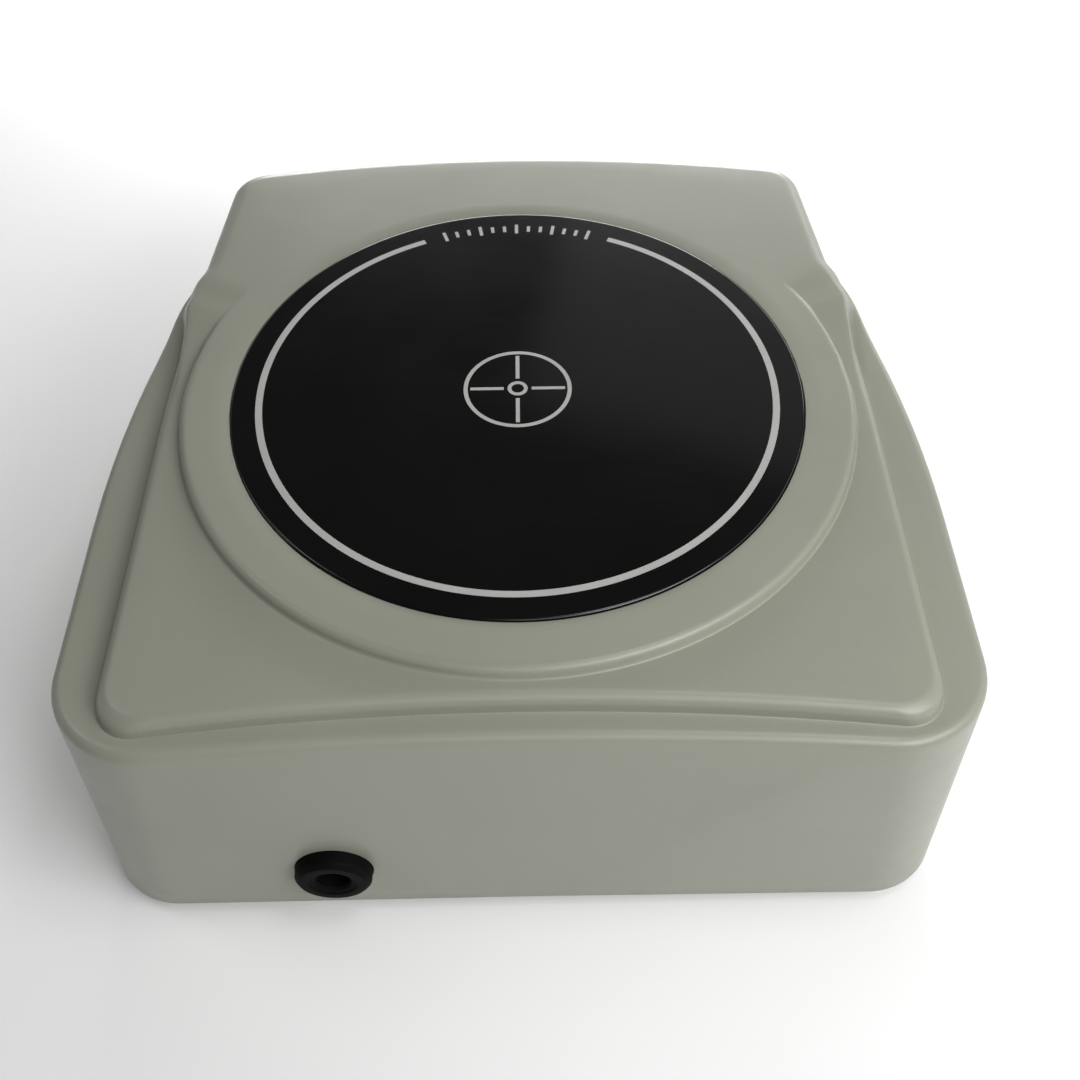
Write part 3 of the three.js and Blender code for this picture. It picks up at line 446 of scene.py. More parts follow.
def gloss_plate():
    """Gloss black enamel, with the faint haze and fine marks that wiping leaves."""
    made = Finish("gloss_black_enamel")
    haze = made.noise(30, detail=4, rough=0.6)
    wipe = made.noise(1.2, detail=4, coordinates=made.stretched(0.12, 1, 1))
    speck = made.noise(0.5, detail=1)
    tone = made.combined("ADD", made.combined("MULTIPLY", haze, 0.7), made.combined("MULTIPLY", speck, 0.3))
    made.colour(made.mixed(made.ranged(tone, 0, 1), linear(7, 7, 7), linear(11, 11, 10)))
    marks = made.combined("ADD", made.combined("MULTIPLY", haze, 0.6), made.combined("MULTIPLY", wipe, 0.4))
    made.roughness(made.ranged(marks, 0.13, 0.19))
    made.relief(made.noise(9, detail=2), 0.01)
    return made.material


def printed_ink():
    made = Finish("pale_ink")
    grain = made.noise(0.25, detail=2)
    cloud = made.noise(7, detail=2)
    tone = made.combined("ADD", made.combined("MULTIPLY", cloud, 0.5), made.combined("MULTIPLY", grain, 0.5))
    made.colour(made.mixed(made.ranged(tone, 0, 1), linear(160, 160, 158), linear(174, 174, 171)))
    made.roughness(made.ranged(grain, 0.42, 0.6))
    made.relief(grain, 0.004)
    return made.material


def rubber():
    made = Finish("black_rubber")
    grain = made.noise(0.3, detail=3)
    dust = made.noise(3.5, detail=4, rough=0.6)
    made.colour(made.mixed(made.ranged(dust, 0, 1, 0.4, 0.75), linear(24, 24, 24), linear(52, 51, 48)))
    made.roughness(made.ranged(grain, 0.75, 0.92))
    made.relief(grain, 0.02)
    return made.material


def foam():
    made = Finish("foam_tape")
    cell = made.node("ShaderNodeTexVoronoi")
    cell.inputs["Scale"].default_value = 1 / (0.5 * MM)
    made.link(made.coordinates, cell.inputs["Vector"])
    made.colour(made.mixed(cell.outputs["Distance"], linear(222, 221, 214), linear(196, 195, 187)))
    made.roughness(made.ranged(made.noise(1), 0.8, 0.95))
    made.relief(cell.outputs["Distance"], 0.05)
    return made.material


def led_lens():
    made = Finish("red_lens")
    cloud = made.noise(0.8, detail=2)
    made.colour(made.mixed(made.ranged(cloud, 0, 1), linear(150, 12, 12), linear(196, 22, 20)))
    made.roughness(made.ranged(cloud, 0.06, 0.14))
    made.shader.inputs["Transmission Weight"].default_value = 0.55
    made.shader.inputs["IOR"].default_value = 1.5
    made.relief(cloud, 0.004)
    return made.material


def circuit_board():
    """Green solder mask over copper tracks, with tinned pads."""
    made = Finish("solder_mask")
    tracks = made.node("ShaderNodeTexBrick", offset=0.37, offset_frequency=3)
    tracks.inputs["Scale"].default_value = 1 / (9 * MM)
    tracks.inputs["Mortar Size"].default_value = 0.05
    tracks.inputs["Brick Width"].default_value = 1.3
    tracks.inputs["Row Height"].default_value = 0.42
    made.link(made.coordinates, tracks.inputs["Vector"])
    pads = made.node("ShaderNodeTexVoronoi", feature="F1")
    pads.inputs["Scale"].default_value = 1 / (3.4 * MM)
    pads.inputs["Randomness"].default_value = 0.35
    made.link(made.coordinates, pads.inputs["Vector"])
    pad = made.ranged(pads.outputs["Distance"], 1, 0, 0.2, 0.24)
    mask = made.mixed(tracks.outputs["Fac"], linear(22, 74, 46), linear(40, 112, 66))
    made.colour(made.mixed(pad, mask, linear(196, 196, 188)))
    made.roughness(made.ranged(made.noise(0.6), 0.28, 0.42))
    made.relief(made.combined("ADD", tracks.outputs["Fac"], pad), 0.04)
    return made.material


def wire_sheath(name, colour):
    made = Finish(name)
    grain = made.noise(0.5, detail=2)
    made.colour(made.mixed(made.ranged(grain, 0, 1), shaded(colour, 0.88), shaded(colour, 1.12)))
    made.roughness(made.ranged(grain, 0.38, 0.52))
    made.relief(grain, 0.008)
    return made.material


HOUSING_PLASTIC = moulded("warm_grey_plastic", linear(143, 145, 132), 0.36)
BASE_PLASTIC = moulded("dark_grey_plastic", linear(46, 47, 49), 0.58, grain_mm=0.5, grain_depth=0.03)
BLACK_PLASTIC = moulded("black_plastic", linear(20, 20, 20), 0.5, grain_depth=0.008, drift=0.1)
SOCKET_BLACK = moulded("socket_black", linear(11, 11, 11), 0.6, grain_depth=0.008, drift=0.1, gloss=0.05)
CAPACITOR_SLEEVE = moulded("capacitor_sleeve", linear(30, 34, 58), 0.3, grain_depth=0.004)
NYLON = moulded("natural_nylon", linear(226, 221, 205), 0.5)
GLOSS_BLACK = gloss_plate()
LABEL_BLACK = moulded("label_black", linear(22, 22, 23), 0.32, grain_mm=0.2, grain_depth=0.004, drift=0.08)
PALE_INK = printed_ink()
RUBBER = rubber()
FOAM = foam()
RED_LENS = led_lens()
SOLDER_MASK = circuit_board()
STEEL = metal("drawn_steel", (0.56, 0.56, 0.57), 0.34, brushed=(0.06, 1, 1))
ZINC = metal("zinc_plate", (0.62, 0.64, 0.66), 0.38, stain=0.14)
ALUMINIUM = metal("aluminium", (0.75, 0.75, 0.76), 0.4, brushed=(0.08, 1, 1))
NICKEL = metal("nickel_plate", (0.66, 0.63, 0.58), 0.2, depth=0.002)
BRASS = metal("brass", (0.78, 0.56, 0.24), 0.3)
RED_SHEATH = wire_sheath("red_sheath", linear(168, 26, 24))
BLACK_SHEATH = wire_sheath("black_sheath", linear(22, 22, 22))
GREY_SHEATH = wire_sheath("grey_sheath", linear(138, 141, 143))

SLOT_MATERIALS = {
    "housing": HOUSING_PLASTIC, "base_plastic": BASE_PLASTIC, "work_plate": GLOSS_BLACK, "tape": FOAM,
    "rubber": RUBBER, "zinc": ZINC, "steel": STEEL, "aluminium": ALUMINIUM, "nickel": NICKEL,
    "brass": BRASS, "panel_label": LABEL_BLACK, "black_plastic": BLACK_PLASTIC, "pale_print": PALE_INK,
    "led_red": RED_LENS, "circuit_board": SOLDER_MASK, "capacitor_sleeve": CAPACITOR_SLEEVE,
    "nylon": NYLON, "red_wire": RED_SHEATH, "black_wire": BLACK_SHEATH, "grey_wire": GREY_SHEATH,
}

# ------------------------------------------------------------------ housing


@lru_cache(maxsize=None)
def outline(half, inset):
    """The closed outline of a half list of corners, moved inwards by inset, with a fixed point count."""
    side = half[1:-1]
    corners = (half[0], *side, half[-1], *((-x, y, radius) for x, y, radius in reversed(side)))
    arc_steps = (*ARC_STEPS, *reversed(ARC_STEPS[1:-1]))
    straight_steps = (*STRAIGHT_STEPS, *reversed(STRAIGHT_STEPS))
    arcs = []
    for i, (x, y, radius) in enumerate(corners):
        here = Vector((x, y))
        arrive = (here - Vector(corners[i - 1][:2])).normalized()
        leave = (Vector(corners[(i + 1) % len(corners)][:2]) - here).normalized()
        inward = Vector((-arrive.y - leave.y, arrive.x + leave.x))
        corner = here + inward * (inset / (1 + arrive.dot(leave)))
        turn = math.atan2(arrive.cross(leave), arrive.dot(leave))
        arcs.append(arc_at(corner, arrive, turn, radius - math.copysign(inset, turn), arc_steps[i]))
    points = []
    for i, arc in enumerate(arcs):
        following = arcs[(i + 1) % len(arcs)][0]
        points += arc
        points += [arc[-1].lerp(following, k / straight_steps[i]) for k in range(1, straight_steps[i])]
    return tuple(points)


def smooth_share(value, start, end):
    share = min(1, max(0, (value - start) / (end - start)))
    return share * share * (3 - 2 * share)


def mix(a, b, share):
    return a + (b - a) * share


def shell_ring(rear, front=None, start_y=SHELF_FADE_Y):
    """One ring of the shell from (outline, inset, z): its rear form blends into its front form along Y."""
    rear_points = outline(rear[0], rear[1])
    front_points = outline(front[0], front[1]) if front else rear_points
    front_z = front[2] if front else rear[2]
    ring = []
    for a, b in zip(rear_points, front_points):
        share = smooth_share(a.y, start_y, FADE_END_Y)
        ring.append(Vector((*a.lerp(b, share), mix(rear[2], front_z, share))))
    return ring


def neck(degrees):
    """The rounded edge of the neck at the front, by the angle up from the wall."""
    angle = math.radians(degrees)
    return RIM_OUTLINE, NECK_FILLET * (1 - math.cos(angle)), NECK_WALL_TOP_Z + NECK_FILLET * math.sin(angle)


def between(a, b, share):
    return [p.lerp(q, share) for p, q in zip(a, b)]


def wall_rings():
    """The outer wall from its broken bottom edge to the foot of the rim's fillet."""
    low = shell_ring((BOTTOM_OUTLINE, 0, HOUSING_BOTTOM_Z + 0.4))
    high = shell_ring((RIM_OUTLINE, 0, WALL_TOP_Z))
    edge = [
        shell_ring((BOTTOM_OUTLINE, 0.4, HOUSING_BOTTOM_Z)),
        shell_ring((BOTTOM_OUTLINE, 0.12, HOUSING_BOTTOM_Z + 0.12)),
    ]
    return edge + [between(low, high, level / WALL_LEVELS) for level in range(WALL_LEVELS + 1)]


def rim_and_deck_rings():
    """The rim's fillet, the shelf and the deck's rounded step, which all become the neck's one rounded
    edge towards the front."""
    rings = []
    for degrees in (12, 25, 38, 51, 64, 77, 90):
        angle = math.radians(degrees)
        rear = (RIM_OUTLINE, RIM_FILLET * (1 - math.cos(angle)), WALL_TOP_Z + RIM_FILLET * math.sin(angle))
        if degrees < 50:
            front = (RIM_OUTLINE, 0, mix(WALL_TOP_Z, NECK_WALL_TOP_Z, degrees / 51))
        else:
            front = neck((degrees - 51) / 39 * 14)
        rings.append(shell_ring(rear, front))
    foot = DECK_EDGE_FILLET - DECK_EDGE_INSET + DECK_STEP_DRAFT
    shelf_start = rings[-1]
    shelf_end = shell_ring((DECK_OUTLINE, -foot - DECK_FOOT_FILLET, SHELF_Z), neck(26))
    rings += [between(shelf_start, shelf_end, share) for share in (0.33, 0.67)]
    for degrees in (0, 25, 50, 75, 90):
        angle = math.radians(degrees)
        inset = -foot - DECK_FOOT_FILLET * (1 - math.sin(angle))
        z = SHELF_Z + DECK_FOOT_FILLET * (1 - math.cos(angle))
        rings.append(shell_ring((DECK_OUTLINE, inset, z), neck(mix(26, 38, degrees / 90))))
    for degrees in (0, 12, 25, 38, 51, 64, 77, 90):
        angle = math.radians(degrees)
        inset = DECK_EDGE_INSET - DECK_EDGE_FILLET * math.cos(angle)
        z = DECK_Z - DECK_EDGE_FILLET * (1 - math.sin(angle))
        start_y = mix(SHELF_FADE_Y, DECK_FADE_Y, smooth_share(degrees, 30, 90))
        rings.append(shell_ring((DECK_OUTLINE, inset, z), neck(mix(44, 90, degrees / 90)), start_y))
    return rings


def pad_height(radius):
    """The height of the round pad's own surface: its top, rounded edge and sloping flank."""
    edge_centre = PAD_RADIUS - PAD_FILLET
    if radius <= edge_centre:
        return PAD_Z
    if radius < PAD_RADIUS:
        return PAD_Z - PAD_FILLET + math.sqrt(PAD_FILLET ** 2 - (radius - edge_centre) ** 2)
    return PAD_Z - PAD_FILLET - (radius - PAD_RADIUS) * PAD_FLANK_SLOPE


def joined_height(deck, pad):
    """The higher of two surfaces, with a small fillet where they meet."""
    blend = min(PAD_FOOT_BLEND, 0.6 * (PAD_Z - deck))
    if blend < 1e-6:
        return max(deck, pad)
    overlap = max(0, 1 - abs(deck - pad) / blend)
    return max(deck, pad) + overlap * overlap * blend / 4


def top_rings(deck_edge):
    """The deck, the pad that stands on it, and the recess for the work plate."""
    def on_rays(radius, height_at):
        return [
            Vector((p.x, p.y, 0)).normalized() * radius + Vector((0, 0, height_at(p))) for p in deck_edge
        ]

    edge_centre = PAD_RADIUS - PAD_FILLET
    foot = [PAD_RADIUS + reach for reach in PAD_FOOT_REACH]
    edge = [edge_centre + PAD_FILLET * math.cos(math.radians(a)) for a in range(6, 91, 12)]
    flat = [edge_centre - 0.5, mix(edge_centre, RECESS_RADIUS, 0.5), RECESS_RADIUS + RECESS_LIP]
    rings = [
        on_rays(radius, lambda p: joined_height(p.z, pad_height(radius))) for radius in foot + edge + flat
    ]
    for degrees in (30, 60, 90):
        angle = math.radians(degrees)
        radius = RECESS_RADIUS + RECESS_LIP * (1 - math.sin(angle))
        rings.append(on_rays(radius, lambda p: PAD_Z - RECESS_LIP * (1 - math.cos(angle))))
    rings += [on_rays(radius, lambda p: RECESS_Z) for radius in (RECESS_RADIUS, 40, 20, 6)]
    return [between(deck_edge, rings[0], share) for share in (0.3, 0.6)] + rings


def front_wall_y(x, z):
    """The Y of the outer front wall, which leans back between two shallow arcs."""
    def arc_y(half):
        corner_y, radius = half[-1][1], half[-1][2]
        slope = math.atan2(corner_y - half[-2][1], half[-2][0])
        apex = corner_y - radius * (1 / math.cos(slope) - 1)
        return apex - (radius - math.sqrt(radius ** 2 - x ** 2))
    share = (z - HOUSING_BOTTOM_Z) / (WALL_TOP_Z - HOUSING_BOTTOM_Z)
    return mix(arc_y(BOTTOM_OUTLINE), arc_y(RIM_OUTLINE), share)


def panel_pocket():
    """What is cut from the front wall for the panel: a pocket whose mouth is rounded along the wall."""
    def loop(grow):
        return rounded_rectangle(PANEL_WIDTH + 2 * grow, PANEL_HEIGHT + 2 * grow, PANEL_CORNER + grow)

    rings = [[Vector((x, PANEL_FACE_Y, PANEL_Z + z)) for x, z in loop(0)]]
    for degrees in (0, 22, 45, 67, 86):
        angle = math.radians(degrees)
        depth = PANEL_EDGE_FILLET * (1 - math.sin(angle))
        rings.append([
            Vector((x, front_wall_y(x, PANEL_Z + z) - depth, PANEL_Z + z))
            for x, z in loop(PANEL_EDGE_FILLET * (1 - math.cos(angle)))
        ])
    rings.append([Vector((x, PANEL_FACE_Y + 20, PANEL_Z + z)) for x, z in loop(PANEL_EDGE_FILLET)])
    return stack(rings)


def socket_seat():
    """What is cut from the rear wall for the socket: a seat for its flange and a hole for its barrel."""
    mouth, hole = JACK_FLANGE_RADIUS + 0.2, JACK_BARREL_RADIUS + 0.4
    return moved(turned([
        (0, JACK_SEAT_Y - 10, 0), (mouth, JACK_SEAT_Y - 10, 0), (mouth, JACK_SEAT_Y, 0),
        (hole, JACK_SEAT_Y, 0), (hole, JACK_SEAT_Y + 10, 0), (0, JACK_SEAT_Y + 10, 0),
    ], 96), (JACK.x, 0, JACK.z), along_y=True)


def housing_cavity():
    """The hollow inside the shell, which leaves a thick wall behind the panel."""
    cavity = mesh_object("cavity_tool", stack([
        shell_ring((BOTTOM_OUTLINE, WALL, HOUSING_BOTTOM_Z - 1)),
        shell_ring((RIM_OUTLINE, WALL, CAVITY_SHELF_Z)),
        shell_ring((DECK_OUTLINE, WALL, CAVITY_SHELF_Z)),
        shell_ring((DECK_OUTLINE, WALL, CAVITY_TOP_Z)),
    ]))
    side = PANEL_WIDTH / 2 + 4
    behind_panel = box_shape((-side, PANEL_BACK_Y, BASE_TOP_Z + 0.3), (side, 100, 100))
    boolean(cavity, behind_panel, "DIFFERENCE")
    vertices = [(v.co - ORIGIN) / MM for v in cavity.data.vertices]
    faces = [list(face.vertices) for face in cavity.data.polygons]
    bpy.data.objects.remove(cavity)
    return vertices, faces


def build_housing():
    edge_rings = rim_and_deck_rings()
    shell = mesh_object("housing_shell", stack(wall_rings() + edge_rings + top_rings(edge_rings[-1])))
    boolean(shell, housing_cavity(), "DIFFERENCE")
    bosses = merged(
        *(cylinder(4.5, BASE_TOP_Z + 0.1, CAVITY_SHELF_Z + 0.5, p.x, p.y) for p in BASE_SCREW_PLACES),
        *(cylinder(3.8, BRACKET_TOP_Z + 0.1, CAVITY_TOP_Z + 0.5, p.x, p.y) for p in BRACKET_SCREW_PLACES),
        cylinder_y(JACK_FLANGE_RADIUS + 1.2, JACK_SEAT_Y + 1, JACK_WASHER_Y - 0.1, JACK.x, JACK.z),
    )
    boolean(shell, bosses, "UNION")
    holes = merged(
        panel_pocket(),
        socket_seat(),
        *(cylinder(1.7, BASE_LOW_Z, BASE_TOP_Z + 11, p.x, p.y, 24) for p in BASE_SCREW_PLACES),
        *(cylinder(1.4, BRACKET_TOP_Z - 2, BRACKET_TOP_Z + 8, p.x, p.y, 24) for p in BRACKET_SCREW_PLACES),
    )
    boolean(shell, holes, "DIFFERENCE")
    panel_holes = merged(
        cylinder_y(3.8, PANEL_BACK_Y - 5, PANEL_FACE_Y + 5, 0, PANEL_Z),
        cylinder_y(2.5, PANEL_BACK_Y - 5, PANEL_FACE_Y + 5, LED_X, PANEL_Z),
    )
    boolean(shell, panel_holes, "DIFFERENCE")
    finish_piece(shell, HOUSING_PLASTIC, replaces=["housing"], smooth_degrees=28)


# ------------------------------------------------------------------ base, feet and base screws


def build_base():
    inset = WALL + 0.35
    body = mesh_object("base_cover", stack([
        shell_ring((BOTTOM_OUTLINE, inset + 0.5, BASE_LOW_Z)),
        shell_ring((BOTTOM_OUTLINE, inset + 0.15, BASE_LOW_Z + 0.15)),
        shell_ring((BOTTOM_OUTLINE, inset, BASE_LOW_Z + 0.5)),
        shell_ring((BOTTOM_OUTLINE, inset + 0.1, BASE_TOP_Z)),
    ]))
    posts = (cylinder(3, BASE_TOP_Z - 1, BOARD_POST_TOP_Z, p.x, p.y) for p in BOARD_SCREW_PLACES)
    boolean(body, merged(*posts), "UNION")
    cuts = merged(
        *(screw_hole(p) for p in BASE_SCREW_PLACES),
        *(foot_hole(p) for p in FOOT_PLACES),
        *(cylinder(1.35, BASE_TOP_Z - 0.5, BOARD_POST_TOP_Z + 1, p.x, p.y, 24) for p in BOARD_SCREW_PLACES),
        label_recess(),
    )
    boolean(body, cuts, "DIFFERENCE")
    finish_piece(body, BASE_PLASTIC, replaces=["base_plate"], smooth_degrees=30)


def screw_hole(spot):
    """A screw hole with a counterbore whose mouth is broken."""
    hole, counterbore, floor_z = 1.9, 3.4, BASE_LOW_Z + 1.1
    return moved(turned([
        (0, BASE_LOW_Z - 1, 0), (counterbore + 0.3, BASE_LOW_Z - 1, 0), (counterbore + 0.3, BASE_LOW_Z, 0),
        (counterbore, BASE_LOW_Z + 0.3, 0), (counterbore, floor_z, 0), (hole, floor_z, 0),
        (hole, BASE_TOP_Z + 1, 0), (0, BASE_TOP_Z + 1, 0),
    ], 48), (spot.x, spot.y, 0))


def foot_hole(spot):
    """The hole for a foot's stem."""
    return cylinder(2.9, BASE_LOW_Z - 1, BASE_TOP_Z + 1, spot.x, spot.y)


def label_recess():
    """A shallow blank recess in the underside, where a rating plate would go."""
    loop = rounded_rectangle(52, 26, 3)
    return stack([[Vector((x, y - 30, z)) for x, y in loop] for z in (BASE_LOW_Z - 1, BASE_LOW_Z + 0.3)])


def build_foot(index):
    node = f"foot_{index}"
    low, high = cad(node)
    radius = (high.x - low.x) / 2
    seat = BASE_LOW_Z - 0.1
    profile = [
        (0, 0.5, 0), (2, 0.5, 0.3), (2.6, 0, 0.25), (radius - 0.7, 0, 0.4), (radius, 1.1, 0.4),
        (radius, 1.7, 0.1), (radius - 0.2, 1.9, 0.1), (radius, 2.1, 0.1), (radius, 2.5, 0.1),
        (radius - 0.2, 2.7, 0.1), (radius, 2.9, 0.1), (radius, seat, 0.2), (2.5, seat, 0.1),
        (2.5, BASE_TOP_Z + 0.2, 0.1), (3.6, BASE_TOP_Z + 0.5, 0.2), (1.5, high.z, 0.4), (0, high.z, 0),
    ]
    spot = FOOT_PLACES[index - 1]
    item = mesh_object(f"rubber_foot_{index}", moved(turned(profile, 64), (spot.x, spot.y, 0)))
    finish_piece(item, RUBBER, replaces=[node])


def cross_recess(depth, reach, half_width, head_z):
    """The cross cut in a screw head that faces down."""
    arms = []
    for x, y in ((reach, half_width), (half_width, reach)):
        arms.append(stack([
            [Vector((sx * x * taper, sy * y * taper, z)) for sx, sy in ((1, -1), (1, 1), (-1, 1), (-1, -1))]
            for taper, z in ((1.15, head_z - 0.5), (0.75, head_z + depth))
        ]))
    return arms


def build_base_screw(index):
    node = f"base_screw_{index}"
    low, high = cad(node)
    radius, shank = (high.x - low.x) / 2 * 1.02, 1.5
    head_top = low.z + 1.3
    profile = [
        (0, low.z, 0), (radius * 0.7, low.z, 0.7), (radius, low.z + 0.8, 0.3), (radius, head_top, 0.05),
        (shank, head_top, 0),
    ]
    z = head_top + 0.6
    while z < high.z - 1.6:
        profile += [(shank, z, 0), (shank - 0.35, z + 0.35, 0), (shank, z + 0.7, 0)]
        z += 0.9
    profile += [(0.3, high.z, 0), (0, high.z, 0)]
    item = mesh_object(f"cross_screw_{index}", turned(profile, 40))
    for arm in cross_recess(0.9, 1.55, 0.32, low.z):
        boolean(item, arm, "DIFFERENCE")
    spot = BASE_SCREW_PLACES[index - 1]
    turn = Matrix.Rotation(math.radians(23 * index), 4, "Z")
    item.data.transform(Matrix.Translation(place((spot.x, spot.y, 0))) @ turn @ Matrix.Translation(-ORIGIN))
    finish_piece(item, ZINC, replaces=[node])


# ------------------------------------------------------------------ work plate and its print

INK_Z = PLATE_TOP_Z - 0.005
GLAZE_Z = PLATE_TOP_Z - 0.03


def build_work_plate():
    item = mesh_object("enamelled_plate", turned([
        (0, PLATE_BOTTOM_Z, 0), (PLATE_RADIUS, PLATE_BOTTOM_Z, 0.2), (PLATE_RADIUS, GLAZE_Z, 0.5),
        (0, GLAZE_Z, 0),
    ], 256))
    finish_piece(item, GLOSS_BLACK, replaces=["work_plate"])


def arc_band(inner, outer, start, end, low=GLAZE_Z - 0.02, high=INK_Z):
    """A flat curved band between two angles in degrees, anticlockwise from +X."""
    steps = max(4, round((end - start) / 2))
    loop = []
    for radius, order in ((outer, range(steps + 1)), (inner, range(steps, -1, -1))):
        for k in order:
            angle = math.radians(mix(start, end, k / steps))
            loop.append((radius * math.cos(angle), radius * math.sin(angle)))
    return band_prism(loop, low, high)


def band_prism(loop, low, high):
    """A closed strip, capped by quads across its width. The loop runs out along one side and back."""
    half = len(loop) // 2
    points = [Vector((x, y, z)) for z in (low, high) for x, y in loop]
    count = len(loop)
    faces = [[i, (i + 1) % count, count + (i + 1) % count, count + i] for i in range(count)]
    for i in range(half - 1):
        a, b, c, d = i, i + 1, count - 2 - i, count - 1 - i
        faces += [[d, c, b, a], [count + a, count + b, count + c, count + d]]
    return points, faces


def full_band(inner, outer, sides=96, low=GLAZE_Z - 0.02, high=INK_Z):
    return hollow_turned([(inner, low, 0), (outer, low, 0), (outer, high, 0), (inner, high, 0)], sides)


def radial_bar(inner, outer, width, degrees, low=GLAZE_Z - 0.02, high=INK_Z):
    """A straight bar that points away from the axis."""
    along = Vector((math.cos(math.radians(degrees)), math.sin(math.radians(degrees))))
    across = Vector((-along.y, along.x)) * (width / 2)
    ring = [along * inner - across, along * outer - across, along * outer + across, along * inner + across]
    return stack([[Vector((p.x, p.y, z)) for p in ring] for z in (low, high)])


RING_RADIUS = 49.6
RING_WIDTH = 1.33
RING_GAP_DEG = 23.3
TARGET_RADIUS = 10.05
TARGET_LINE = 0.8
TICK_REACH_DEG = 18
TICKS = 13


def build_plate_print():
    """A ring with a gap at the front that holds a short scale of ticks, and a target over the magnets."""
    def line(middle, width):
        return middle - width / 2, middle + width / 2

    shapes = [
        arc_band(*line(RING_RADIUS, RING_WIDTH), 90 + RING_GAP_DEG, 450 - RING_GAP_DEG),
        full_band(*line(TARGET_RADIUS, TARGET_LINE)),
        full_band(1.2, 1.95, 48),
    ]
    shapes += [radial_bar(2.7, 9.15, 0.75, degrees) for degrees in (0, 90, 180, 270)]
    for i in range(TICKS):
        angle = 90 + mix(-TICK_REACH_DEG, TICK_REACH_DEG, i / (TICKS - 1))
        length = 3.0 if i % 3 == 0 else 1.9
        shapes.append(radial_bar(*line(RING_RADIUS, length), 0.7, angle))
    item = mesh_object("plate_print", merged(*shapes))
    finish_piece(item, PALE_INK)


# ------------------------------------------------------------------ power socket


def build_jack():
    front, back, seat = JACK_LOW.y, JACK_HIGH.y, JACK_SEAT_Y - 0.1
    flange, barrel, bore = JACK_FLANGE_RADIUS, JACK_BARREL_RADIUS, 3.1
    floor_y = front + 10.5
    item = mesh_object("socket_body", moved(turned([
        (0, floor_y, 0), (bore, floor_y, 0.1), (bore, front + 0.9, 0.05), (bore + 0.5, front + 0.35, 0.1),
        (bore + 1.1, front + 0.35, 0.1), (bore + 1.5, front, 0.15), (flange - 0.9, front, 0.5),
        (flange, front + 0.9, 0.7), (flange, seat, 0.1), (barrel, seat, 0), (barrel, back, 0.2), (0, back, 0),
    ], 96), (JACK.x, 0, JACK.z), along_y=True))
    finish_piece(item, SOCKET_BLACK, replaces=["jack_body"])
    pin_low, pin_high = cad("jack_pin")
    radius = (pin_high.x - pin_low.x) / 2
    pin = mesh_object("socket_pin", moved(turned([
        (0, pin_low.y, 0), (radius * 0.5, pin_low.y, 0.2), (radius, pin_low.y + 0.8, 0.4),
        (radius, pin_high.y, 0), (0, pin_high.y, 0),
    ], 48), (JACK.x, 0, JACK.z), along_y=True))
    finish_piece(pin, BRASS, replaces=["jack_pin"])
    leaf_z = JACK.z + bore
    leaf = mesh_object("socket_contact", box_shape(
        (JACK.x - 0.9, front + 2.2, leaf_z - 0.55), (JACK.x + 0.9, floor_y - 0.3, leaf_z - 0.15),
    ))
    finish_piece(soften(leaf, 0.1), NICKEL)


# ------------------------------------------------------------------ control panel

DIAL_SWEEP_DEG = 150
DIAL_STEPS = 10
KNOB_LOW, KNOB_HIGH = cad("speed_knob")
KNOB_RADIUS = (KNOB_HIGH.x - KNOB_LOW.x) / 2
KNOB_FLUTES = 12
FLUTE_RADIUS = 1.5
FLUTE_DEPTH = 0.55


def panel_direction(degrees):
    """A direction on the panel, clockwise from the top as seen from the front."""
    angle = math.radians(degrees)
    return Vector((-math.sin(angle), 0, math.cos(angle)))


def build_panel_label():
    face, back = LABEL_HIGH.y, LABEL_LOW.y
    rings = []
    for edge, y in ((0, back), (0, face - 0.15), (0.05, face - 0.04), (0.15, face - 0.02)):
        inset = LABEL_GAP + edge
        loop = rounded_rectangle(PANEL_WIDTH - 2 * inset, PANEL_HEIGHT - 2 * inset, PANEL_CORNER - inset)
        rings.append([Vector((x, y, PANEL_Z + z)) for x, z in loop])
    item = mesh_object("label_sheet", stack(rings))
    openings = merged(
        cylinder_y(7, back - 1, face + 1, 0, PANEL_Z, 96),
        cylinder_y(3.2, back - 1, face + 1, LED_X, PANEL_Z),
    )
    boolean(item, openings, "DIFFERENCE")
    finish_piece(item, LABEL_BLACK, replaces=["panel_label"])


def panel_bar(inner, outer, width, degrees, low, high):
    """A printed bar on the panel that points away from the knob."""
    along = panel_direction(degrees)
    across = along.cross(Vector((0, 1, 0))) * (width / 2)
    ring = [along * inner - across, along * outer - across, along * outer + across, along * inner + across]
    return stack([[p + Vector((0, y, PANEL_Z)) for p in ring] for y in (low, high)])


def numeral(text, size, centre, low, high):
    """A number as a flat solid that reads from the front."""
    curve = bpy.data.curves.new("numeral", "FONT")
    curve.body = text
    curve.size = size
    curve.align_x = "CENTER"
    curve.align_y = "CENTER"
    curve.extrude = (high - low) / 2
    carrier = bpy.data.objects.new("numeral", curve)
    bpy.context.scene.collection.objects.link(carrier)
    bpy.context.view_layer.update()
    mesh = bpy.data.meshes.new_from_object(carrier.evaluated_get(bpy.context.evaluated_depsgraph_get()))
    middle = Vector((0, (low + high) / 2, 0)) + centre
    vertices = [Vector((-v.co.x, v.co.z, v.co.y)) + middle for v in mesh.vertices]
    faces = [list(face.vertices) for face in mesh.polygons]
    bpy.data.objects.remove(carrier)
    return vertices, faces


